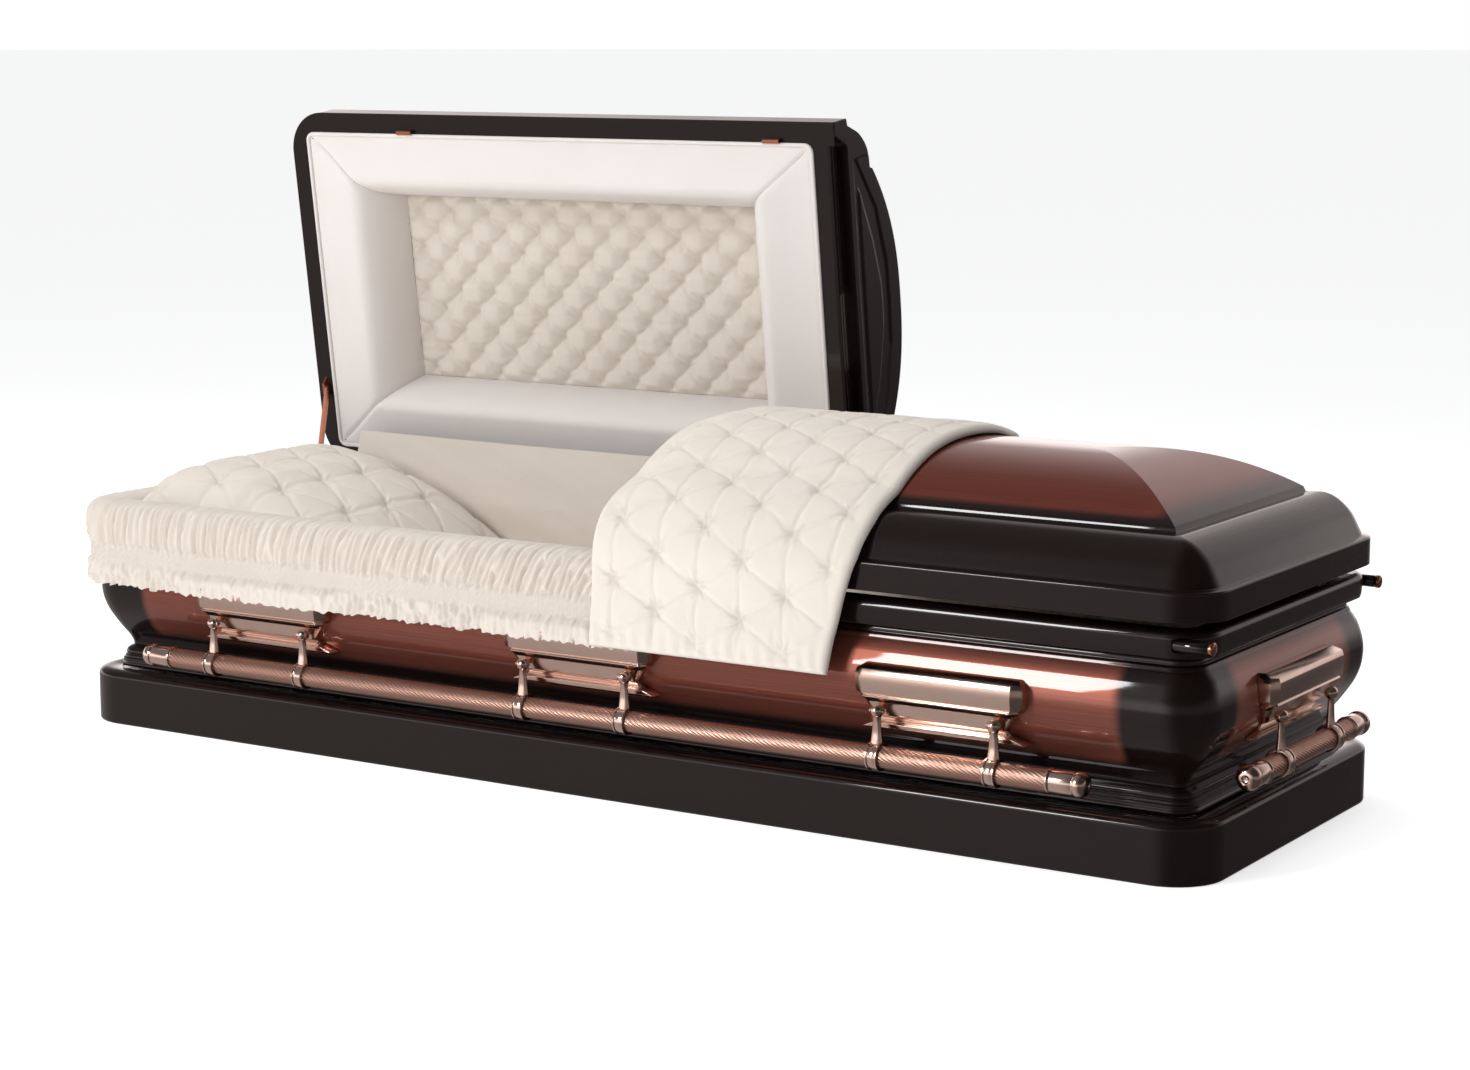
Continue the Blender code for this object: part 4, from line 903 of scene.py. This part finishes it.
pillowPiece = finishPiece("pillow_quilted", pillowForm, throwCloth, "casket_body", ["pillow"])
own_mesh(pillowPiece)
print("pillow ready")

# gathered skirt over the front and head rim: roll, slanted ruffles, smocked band and crinkled hem
skirt = {
    "keys": ((0.0640, -0.0250), (0.0640, 0.0080), (0.0600, 0.0190), (0.0480, 0.0245), (0.0300, 0.0258),
             (0.0120, 0.0245), (-0.0010, 0.0180), (-0.0075, 0.0050), (-0.0098, -0.0150), (-0.0104, -0.0450),
             (-0.0110, -0.0760), (-0.0115, -0.1000), (-0.0118, -0.1150)),
    "step": 0.0022,
    "start": 0.1050,
    "end": 0.2400,
    "lugs": (-0.6385, 0.0),
    "fullness": 1.25,
}
halfLength, halfWidth, corner = outline
skirtPath, skirtRun = pathGrid(skirt["keys"], 0.0026)
frontLength = skirt["start"] + halfLength - corner
cornerLength = corner * math.pi / 2
endLength = halfWidth - corner + skirt["end"]
whole = frontLength + cornerLength + endLength
run = np.linspace(0, whole, round(whole / skirt["step"]))
angle = np.clip((run - frontLength) / cornerLength, 0, 1) * math.pi / 2
centreX = np.where(run < frontLength, skirt["start"] - run, -halfLength + corner)
centreY = np.where(run > frontLength + cornerLength, -halfWidth + corner + run - frontLength - cornerLength,
                   -halfWidth + corner)
outX, outY = -np.sin(angle), -np.cos(angle)
depthOfRuffle = np.zeros((len(skirtPath), len(run)))
roughSlide = np.array([noise.noise(Vector((s * 14, 3.1, 0))) for s in run])
roughHem = np.array([noise.noise(Vector((s * 60, 9.7, 0))) for s in run])
for row, (inset, height) in enumerate(skirtPath):
    z = rimTop + height
    upperPart = smoothStep(0.392, 0.372, z) * smoothStep(0.306, 0.322, z) if height < 0.03 else 0.0
    face = smoothStep(0.030, 0.000, inset)
    rollPart = 0.30 * smoothStep(0.060, 0.020, inset)
    smock = smoothStep(0.279, 0.286, z) * smoothStep(0.326, 0.316, z) * face
    lowPart = smoothStep(0.287, 0.277, z) * face
    slanted = run * 2 * math.pi / 0.0135 + (z - 0.35) * (270 - 240 * smoothStep(0.0, 1.1, run)) + 7.0 * roughSlide
    warp = np.array([noise.noise(Vector((s * 95, z * 22 + s * 30, 1.7))) for s in run])
    fine = np.array([noise.noise(Vector((s * 150, z * 75, 5.3))) for s in run])
    ruffle = (np.sin(slanted + 2.6 * warp) + 0.5 * np.sin(slanted * 0.53 + 3.0 * warp)) * 0.0042
    smocked = 0.0024 * np.sin(run * 2 * math.pi / 0.0066 + 1.5 * warp) * np.cos(z * 2 * math.pi / 0.0105 + 2 * warp)
    crinkle = 0.0075 * warp + 0.0075 * fine + 0.0014 * np.sin(run * 2 * math.pi / 0.0115 + 5 * warp)
    depthOfRuffle[row] = (ruffle * max(upperPart * face, rollPart * (1 - face) + 0.35 * face * (z > 0.36))
                          + (smocked - 0.0012) * smock + crinkle * lowPart)
    swell = math.sin(math.pi * np.clip((0.386 - z) / 0.07, 0, 1))
    depthOfRuffle[row] += 0.0016 * lowPart + 0.0030 * face * upperPart * swell
inset = np.repeat(skirtPath[:, :1], len(run), 1)
height = rimTop + np.repeat(skirtPath[:, 1:], len(run), 1)
slope = np.gradient(skirtPath, axis=0)
slope /= np.linalg.norm(slope, axis=1, keepdims=True)
outInset, outHeight = -slope[:, 1:], slope[:, :1]
if outInset[-2, 0] > 0:
    outInset, outHeight = -outInset, -outHeight
inset = inset + outInset * depthOfRuffle
height = height + outHeight * depthOfRuffle
reachX = centreX[None, :] + outX[None, :] * (corner - inset)
reachY = centreY[None, :] + outY[None, :] * (corner - inset)
for lugX in skirt["lugs"]:
    over = smoothStep(0.200, 0.139, np.abs(reachX - lugX)) * smoothStep(0.284, 0.270, height) * (reachY < -0.3)
    clear = reachY * (1 - over) + (-halfWidth - 0.0245 + 0.4 * (reachY + 0.349)) * over
    reachY = np.where(over > 0, np.minimum(reachY, clear), reachY)
share = smoothStep(0.300, 0.246, height)
hemWave = 0.0045 * roughHem + 0.0012 * np.sin(run * 2 * math.pi / 0.0190 + 9 * roughSlide)
height = height + share * hemWave[None, :]
flare = smoothStep(whole - 0.62, whole - 0.50, run)[None, :] * smoothStep(whole, whole - 0.36, run)[None, :] * share
points = np.stack([reachX + outX[None, :] * 0.006 * flare, reachY + outY[None, :] * 0.003 * flare, height], axis=2)
skirtForm = gridForm(points, weld=0)
bmesh.ops.recalc_face_normals(skirtForm, faces=skirtForm.faces)
skirtForm.normal_update()
if sum(face.normal.y for face in skirtForm.faces if face.calc_center_median().y < -0.33) > 0:
    bmesh.ops.reverse_faces(skirtForm, faces=skirtForm.faces)
skirtPiece = finishPiece("rim_skirt_gathered", skirtForm, crepeCloth, "casket_body", ["rim_skirt"])
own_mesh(skirtPiece)
print("skirt ready")

# padded rolls round the inside of the head lid, modelled with the lid closed
puffs = {
    "outer": (-1.0120, 0.0650, 0.2940),
    "width": 0.1230, "endWidth": 0.1490,
    "keys": ((0.0, 0.0015), (0.03, -0.0010), (0.15, -0.0020), (0.34, -0.0055), (0.51, -0.0105), (0.64, -0.0138),
             (0.73, -0.0095), (0.80, 0.0010), (0.86, 0.0150), (0.91, 0.0320), (0.96, 0.0560), (1.0, 0.0830)),
    "seam": 0.0050,
    "welt": 0.0036,
}
puffPath, _ = pathGrid([(share * puffs["width"], depth) for share, depth in puffs["keys"]], 0.0042)
x0, x1, half = puffs["outer"]
forms = []
cornersOuter = [(x0, -half), (x1, -half), (x1, half), (x0, half)]
stretchX = puffs["endWidth"] / puffs["width"]
for index in range(4):
    start, end = Vector(cornersOuter[index]), Vector(cornersOuter[(index + 1) % 4])
    direction = (end - start).normalized()
    length = (end - start).length
    count = round(length / 0.0070)
    rows = []
    for distance, depth in puffPath:
        inX, inY = distance * stretchX, distance
        move = [Vector((inX * (1 if c[0] < -0.5 else -1), inY * (1 if c[1] < 0 else -1))) for c in
                (cornersOuter[index], cornersOuter[(index + 1) % 4])]
        a, b = start + move[0], end + move[1]
        row = []
        for t in np.linspace(0, 1, count):
            p = a.lerp(b, t)
            toEnd = min(t, 1 - t) * (b - a).length
            dip = puffs["seam"] * math.exp(-(toEnd / 0.0045) ** 1.4)
            sway = 0.0014 * noise.noise(Vector((p.x * 7, p.y * 7, index)))
            wide = smoothStep(0.0, 0.02, distance)
            row.append((p.x, p.y, lid["underside"] + depth + dip * wide + sway * wide))
        rows.append(row)
    strip = gridForm(np.array(rows), weld=0)
    turnToward(strip, (0, 0, -1))
    forms.append(strip)
weltRing = []
for part in np.linspace(0, 2 * math.pi, 13)[:-1]:
    weltRing.append((-0.0010 - puffs["welt"] * math.cos(part),
                     lid["underside"] - 0.0012 + puffs["welt"] * math.sin(part)))
weltLoops = frameLoops(weltRing, (x1 - x0) / 2, half, 0.012, 8)
weltLoops[:, :, 0] += (x0 + x1) / 2
weltForm = gridForm(weltLoops, closeAcross=True, closeAlong=True)
bmesh.ops.recalc_face_normals(weltForm, faces=weltForm.faces)
forms.append(weltForm)
puffForm = joinForms(forms)
puffPiece = finishPiece("lid_puffs_velvet", puffForm, velvetCloth, "head_lid", ["lid_puff_frame"],
                        openTurn)

# button-tufted panel in the middle of the head lid
tufts = {"pitchX": 0.0760, "pitchY": 0.0760, "step": 0.0026, "deep": 0.0090}
panelX = (x0 + puffs["endWidth"] - 0.002, x1 - puffs["endWidth"] + 0.002)
panelY = half - puffs["width"] + 0.002
px = np.linspace(panelX[0], panelX[1], round((panelX[1] - panelX[0]) / tufts["step"]))
py = np.linspace(-panelY, panelY, round(2 * panelY / tufts["step"]))
gx, gy = np.meshgrid(px, py)
u = (gx - panelX[0]) * quilt["pitch"] / tufts["pitchX"] + 0.012
v = (gy + panelY) * 2 * rowPitch / tufts["pitchY"] + 0.02
move = quiltAt(u, v)
near, nearX, nearY, reaches = None, None, None, []
for shift in (0.0, 0.5):
    offX = (u / quilt["pitch"] - shift - np.round(u / quilt["pitch"] - shift)) * tufts["pitchX"]
    offY = (v / (2 * rowPitch) - shift - np.round(v / (2 * rowPitch) - shift)) * tufts["pitchY"]
    far = np.hypot(offX, offY)
    closer = np.ones_like(far, bool) if near is None else far < near
    near = np.where(closer, far, near if near is not None else far)
    nearX = np.where(closer, offX, nearX if nearX is not None else offX)
    nearY = np.where(closer, offY, nearY if nearY is not None else offY)
for sign in (-1, 1):
    bow = 0.0030 * np.sin(2 * math.pi * (u / quilt["pitch"] - sign * v / (2 * rowPitch)))
    reach = u / quilt["pitch"] + sign * v / (2 * rowPitch)
    reaches.append(np.abs((reach - np.round(reach)) * tufts["pitchX"] * math.sqrt(0.5) + bow))
valley = np.minimum(*reaches) / 0.0268
bulge = tufts["deep"] * (1 - (1 - np.clip(valley, 0, 1)) ** 4.5) * (0.45 + 0.55 * smoothStep(0.0, 0.030, near))
bulge += 0.0050 * smoothStep(0.004, 0.030, near) + 0.15 * move[:, :, 2] - 0.0060 * np.exp(-(near / 0.0055) ** 2)
rays = 0.0009 * np.sin(9 * np.arctan2(nearY, nearX) + 3 * np.sin(u * 19)) * np.exp(-((near - 0.012) / 0.009) ** 2)
edge = np.minimum(np.minimum(gx - panelX[0], panelX[1] - gx), panelY - np.abs(gy))
z = lid["underside"] + 0.0860 - (bulge + rays) * smoothStep(-0.004, 0.018, edge)
tuftForm = gridForm(np.stack([gx + 0.6 * move[:, :, 0], gy + 0.3 * move[:, :, 1], z], axis=2), weld=0)
turnToward(tuftForm, (0, 0, -1))
tuftPiece = finishPiece("lid_panel_tufted", tuftForm, tuftCloth, "head_lid", ["lid_tufted_panel"],
                        openTurn)
print("lid upholstery ready")

# walls and bed inside the casket
liner = {"inset": 0.0612, "low": 0.2060, "high": 0.3345}
linerKeys = [(liner["inset"], h) for h in np.linspace(liner["low"], liner["high"], 24)]
linerLoops = frameLoops([Vector(k) for k in linerKeys], halfLength, halfWidth, 0.075, 10)
linerFine = np.zeros((24, 900, 3))
perimeter = np.concatenate([linerLoops[0], linerLoops[0][:1]], axis=0)
around = np.concatenate([[0], np.cumsum(np.linalg.norm(np.diff(perimeter[:, :2], axis=0), axis=1))])
even = np.linspace(0, around[-1], 901)[:-1]
ringX, ringY = np.interp(even, around, perimeter[:, 0]), np.interp(even, around, perimeter[:, 1])
for row, (inset, height) in enumerate(linerKeys):
    fold = np.array([noise.noise(Vector((a * 9, b * 9, height * 11))) for a, b in zip(ringX, ringY)])
    ripple = 0.0030 * fold + 0.0012 * np.sin(even * 90 + 6 * fold)
    shrinkY = 1 - (0.0022 + np.abs(ripple)) / 0.27
    shrinkX = 1 - (0.0022 + np.abs(ripple)) / 0.98
    linerFine[row] = np.stack([ringX * shrinkX, ringY * shrinkY, np.full(900, height)], axis=1)
linerForm = gridForm(linerFine, closeAcross=True)
linerPiece = finishPiece("body_lining_pleated", linerForm, crepeCloth, "casket_body", ["body_lining"])

bed = {"z": 0.2085, "inset": 0.0665}
bx = np.linspace(-halfLength + bed["inset"] + 0.002, halfLength - bed["inset"] - 0.002, 240)
by = np.linspace(-halfWidth + bed["inset"] + 0.002, halfWidth - bed["inset"] - 0.002, 70)
gx, gy = np.meshgrid(bx, by)
wave = np.array([noise.noise(Vector((a * 5, b * 9, 0.3))) + 0.5 * noise.noise(Vector((a * 14, b * 17, 2.3)))
                 for a, b in zip(gx.reshape(-1), gy.reshape(-1))]).reshape(gx.shape)
bedForm = gridForm(np.stack([gx, gy, bed["z"] + 0.0013 * wave], axis=2), weld=0)
turnToward(bedForm, (0, 0, 1))
bedPiece = finishPiece("bed_sheet_laid", bedForm, crepeCloth, "casket_body", ["bed_sheet"])

mattressLow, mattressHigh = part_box("mattress")
size = [b - a for a, b in zip(mattressLow, mattressHigh)]
mattressForm = bmesh.new()
bmesh.ops.create_cube(mattressForm, size=1.0)
bmesh.ops.scale(mattressForm, vec=[s - 0.001 for s in size], verts=mattressForm.verts)
bmesh.ops.bevel(mattressForm, geom=[e for e in mattressForm.edges if abs((e.verts[0].co - e.verts[1].co).z) > 0.01],
                offset=0.045, segments=8, profile=0.5, affect="EDGES", material=-1)
bmesh.ops.bevel(mattressForm, geom=[e for e in mattressForm.edges if abs((e.verts[0].co - e.verts[1].co).z) < 0.001
                                    and len(e.link_faces) == 2 and e.calc_face_angle(0) > 1.0],
                offset=0.014, segments=5, profile=0.5, affect="EDGES", material=-1)
middle = [(a + b) / 2 for a, b in zip(mattressLow, mattressHigh)]
bmesh.ops.translate(mattressForm, vec=middle, verts=mattressForm.verts)
mattressPiece = finishPiece("mattress_filled", mattressForm, crepeCloth, "casket_body", ["mattress"],
                            flat=50)

apronLow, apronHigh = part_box("rear_apron")
ax = np.linspace(apronLow[0], apronHigh[0], 330)
az = np.linspace(0.2120, apronHigh[2], 90)
gx, gz = np.meshgrid(ax, az)
share = (gz - az[0]) / (az[-1] - az[0])
sag = np.array([noise.noise(Vector((a * 6, b * 18, 4.1)))
                + 0.4 * noise.noise(Vector((a * 17 + b * 30, b * 22, 7.7)))
                for a, b in zip(gx.reshape(-1), gz.reshape(-1))]).reshape(gx.shape)
lean = (apronHigh[1] - apronLow[1] + 0.002) * np.clip((gz - 0.334) / 0.112, 0, 1) ** 1.3
gy = apronLow[1] - 0.005 + lean - 0.003 * np.sin(math.pi * share) + 0.0030 * sag
gz = gz - 0.012 * share * (1 - ((gx - ax[0]) / (ax[-1] - ax[0]) * 2 - 1) ** 2) * 0.25
apronForm = gridForm(np.stack([gx, gy, gz], axis=2), weld=0)
turnToward(apronForm, (0, -1, 0))
apronPiece = finishPiece("rear_apron_draped", apronForm, crepeCloth, "casket_body", ["rear_apron"])
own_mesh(apronPiece)
print("lining, bed and apron ready")

# fluted carrying bars
bars = {"radius": 0.0164, "flutes": 20, "flute": 0.0009, "turn": 0.200, "perTurn": 40}


def flutedBar(node, body):
    low, high = (Vector(p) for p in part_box(node))
    size = high - low
    lengthwise = 0 if size.x > size.y else 1
    centre = (low + high) / 2
    length = size[lengthwise]
    bm = bmesh.new()
    count = bars["flutes"] * 4
    verts = []
    for step in range(count):
        angle = 2 * math.pi * step / count
        radius = bars["radius"] - bars["flute"] * (0.5 - 0.5 * math.cos(bars["flutes"] * angle))
        verts.append(bm.verts.new((radius * math.cos(angle), radius * math.sin(angle), -length / 2)))
    edges = [bm.edges.new((a, b)) for a, b in zip(verts, verts[1:] + verts[:1])]
    steps = round(bars["perTurn"] * length / bars["turn"])
    bmesh.ops.spin(bm, geom=verts + edges, cent=(0, 0, 0), axis=(0, 0, 1), dvec=(0, 0, length / steps),
                   angle=2 * math.pi * length / bars["turn"], steps=steps, use_duplicate=False)
    capEnds(bm)
    turn = Matrix.Rotation(math.pi / 2, 4, "Y") if lengthwise == 0 else Matrix.Rotation(-math.pi / 2, 4, "X")
    bmesh.ops.transform(bm, matrix=Matrix.Translation(centre) @ turn, verts=bm.verts)
    finishPiece(node + "_fluted", bm, satinCopper, body, [node], flat=60)


for label in ("front", "back", "foot"):
    flutedBar(label + "_handle_bar", label + "_handle")
print("bars ready")

# swing arms, bar tips and lugs; an arm is drawn with its pivot at the origin, the bar below it and along X
arms = {"ball": 0.0104, "pin": 0.0048, "drop": 0.0680}
collarHalf = ((0.0204, 0.0030), (0.0197, 0.0060), (0.0213, 0.0070), (0.0213, 0.0092), (0.0200, 0.0100),
              (0.0168, 0.0098))
collarKeys = tuple((radius, -along) for radius, along in reversed(collarHalf)) + ((0.0206, 0.0),) + collarHalf
stemKeys = ((-0.0040, 0.0070, 0.0060), (-0.0110, 0.0064, 0.0050), (-0.0200, 0.0070, 0.0050),
            (-0.0340, 0.0084, 0.0054), (-0.0450, 0.0100, 0.0062), (-0.0520, 0.0106, 0.0074))


def armForm():
    forms = []
    ball = bmesh.new()
    bmesh.ops.create_uvsphere(ball, u_segments=28, v_segments=16, radius=arms["ball"])
    forms.append(ball)
    pin, n = arms["pin"], 0.0118
    forms.append(spunForm(((0.0, n), (pin * 0.7, n - 0.0002), (pin, n - 0.0012), (pin, -n + 0.0012),
                           (pin * 0.7, -n + 0.0002), (0.0, -n)), layAlongX, 20))
    ring = np.radians(np.linspace(0, 360, 25)[:-1])
    rows = []
    for z, wide, deep in curveThrough(stemKeys, 5):
        middle = smoothStep(-0.046, -0.030, z) * smoothStep(-0.010, -0.018, z)
        waist = 1 - 0.26 * np.exp(-(np.cos(ring) / 0.28) ** 2) * middle
        rows.append(np.stack([wide * np.cos(ring), deep * np.sin(ring) * waist, np.full_like(ring, z)], axis=1))
    stem = gridForm(np.array(rows), closeAcross=True)
    capEnds(stem)
    forms.append(stem)
    collar = spunForm(collarKeys + collarKeys[:1], Matrix.Translation((0, 0, -arms["drop"])) @ layAlongX, 48)
    forms.append(collar)
    return joinForms(forms)


for label, count, depth, height in (("front", 6, -0.3533, 0.2025), ("back", 6, 0.3533, 0.2025),
                                    ("foot", 2, 1.0667, 0.2080)):
    for number in range(1, count + 1):
        node = f"{label}_arm_{number}"
        low, high = (Vector(p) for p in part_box(node))
        middle = (low + high) / 2
        if label == "foot":
            spot = Matrix.Translation((depth, middle.y, height)) @ Matrix.Rotation(math.pi / 2, 4, "Z")
        else:
            spot = Matrix.Translation((middle.x, depth, height))
        finishPiece(node + "_cast", armForm(), roseCopper, label + "_handle", [node], spot, flat=55)

tipKeys = ((0.0, 0.0), (0.0172, 0.0), (0.0184, 0.0010), (0.0188, 0.0028), (0.0184, 0.0046), (0.0172, 0.0056),
           (0.0170, 0.0075), (0.0174, 0.0100), (0.0176, 0.0400), (0.0170, 0.0412), (0.0170, 0.0428),
           (0.0184, 0.0440), (0.0190, 0.0460), (0.0190, 0.0500), (0.0184, 0.0535), (0.0168, 0.0570),
           (0.0140, 0.0600), (0.0100, 0.0617), (0.0066, 0.0620), (0.0058, 0.0608), (0.0030, 0.0600), (0.0, 0.0598))
for label in ("front", "back", "foot"):
    barLow, barHigh = (Vector(p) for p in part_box(label + "_handle_bar"))
    barMiddle = (barLow + barHigh) / 2
    for end in ("a", "b"):
        node = f"{label}_bar_tip_{end}"
        low, high = (Vector(p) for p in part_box(node))
        middle = (low + high) / 2
        size = high - low
        way = 0 if size.x > size.y else 1
        outward = 1 if middle[way] > barMiddle[way] else -1
        start = middle.copy()
        start[way] = low[way] if outward > 0 else high[way]
        axis = Vector((outward if way == 0 else 0, outward if way == 1 else 0, 0))
        scale = size[way] / tipKeys[-5][1]
        turn = Matrix.Translation(start) @ axis.to_track_quat("Z", "Y").to_matrix().to_4x4()
        tip = spunForm([(radius, distance * scale) for radius, distance in tipKeys], turn, 40)
        finishPiece(node + "_turned", tip, roseCopper, label + "_handle", [node], flat=50)


def softened(node, width, segments):
    # the node's own solid with its sharp edges rounded over
    bm = bmesh.new()
    bm.from_mesh(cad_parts[node].data)
    bmesh.ops.remove_doubles(bm, verts=bm.verts, dist=2e-5)
    bmesh.ops.dissolve_limit(bm, angle_limit=math.radians(1.0), verts=bm.verts, edges=bm.edges)
    sharp = [edge for edge in bm.edges if len(edge.link_faces) == 2 and edge.calc_face_angle(0) > math.radians(14)]
    bmesh.ops.bevel(bm, geom=sharp, offset=width, segments=segments, profile=0.5, affect="EDGES", material=-1,
                    clamp_overlap=True)
    bmesh.ops.recalc_face_normals(bm, faces=bm.faces)
    return bm


for node in sorted(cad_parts):
    if "_lug_" in node:
        finishPiece(node + "_cast", softened(node, 0.0011, 3), roseCopper, "casket_body", [node],
                    flat=40)
print("handles ready")

# remaining hard nodes keep their solids and take the real finishes
finishes = {"latch_pin": capCopper, "lid_stay": capCopper, "hinge": hingeSteel}
for node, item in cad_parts.items():
    for word, finish in finishes.items():
        if word in node and isinstance(item, bpy.types.Object):
            item.data.materials.clear()
            item.data.materials.append(finish)
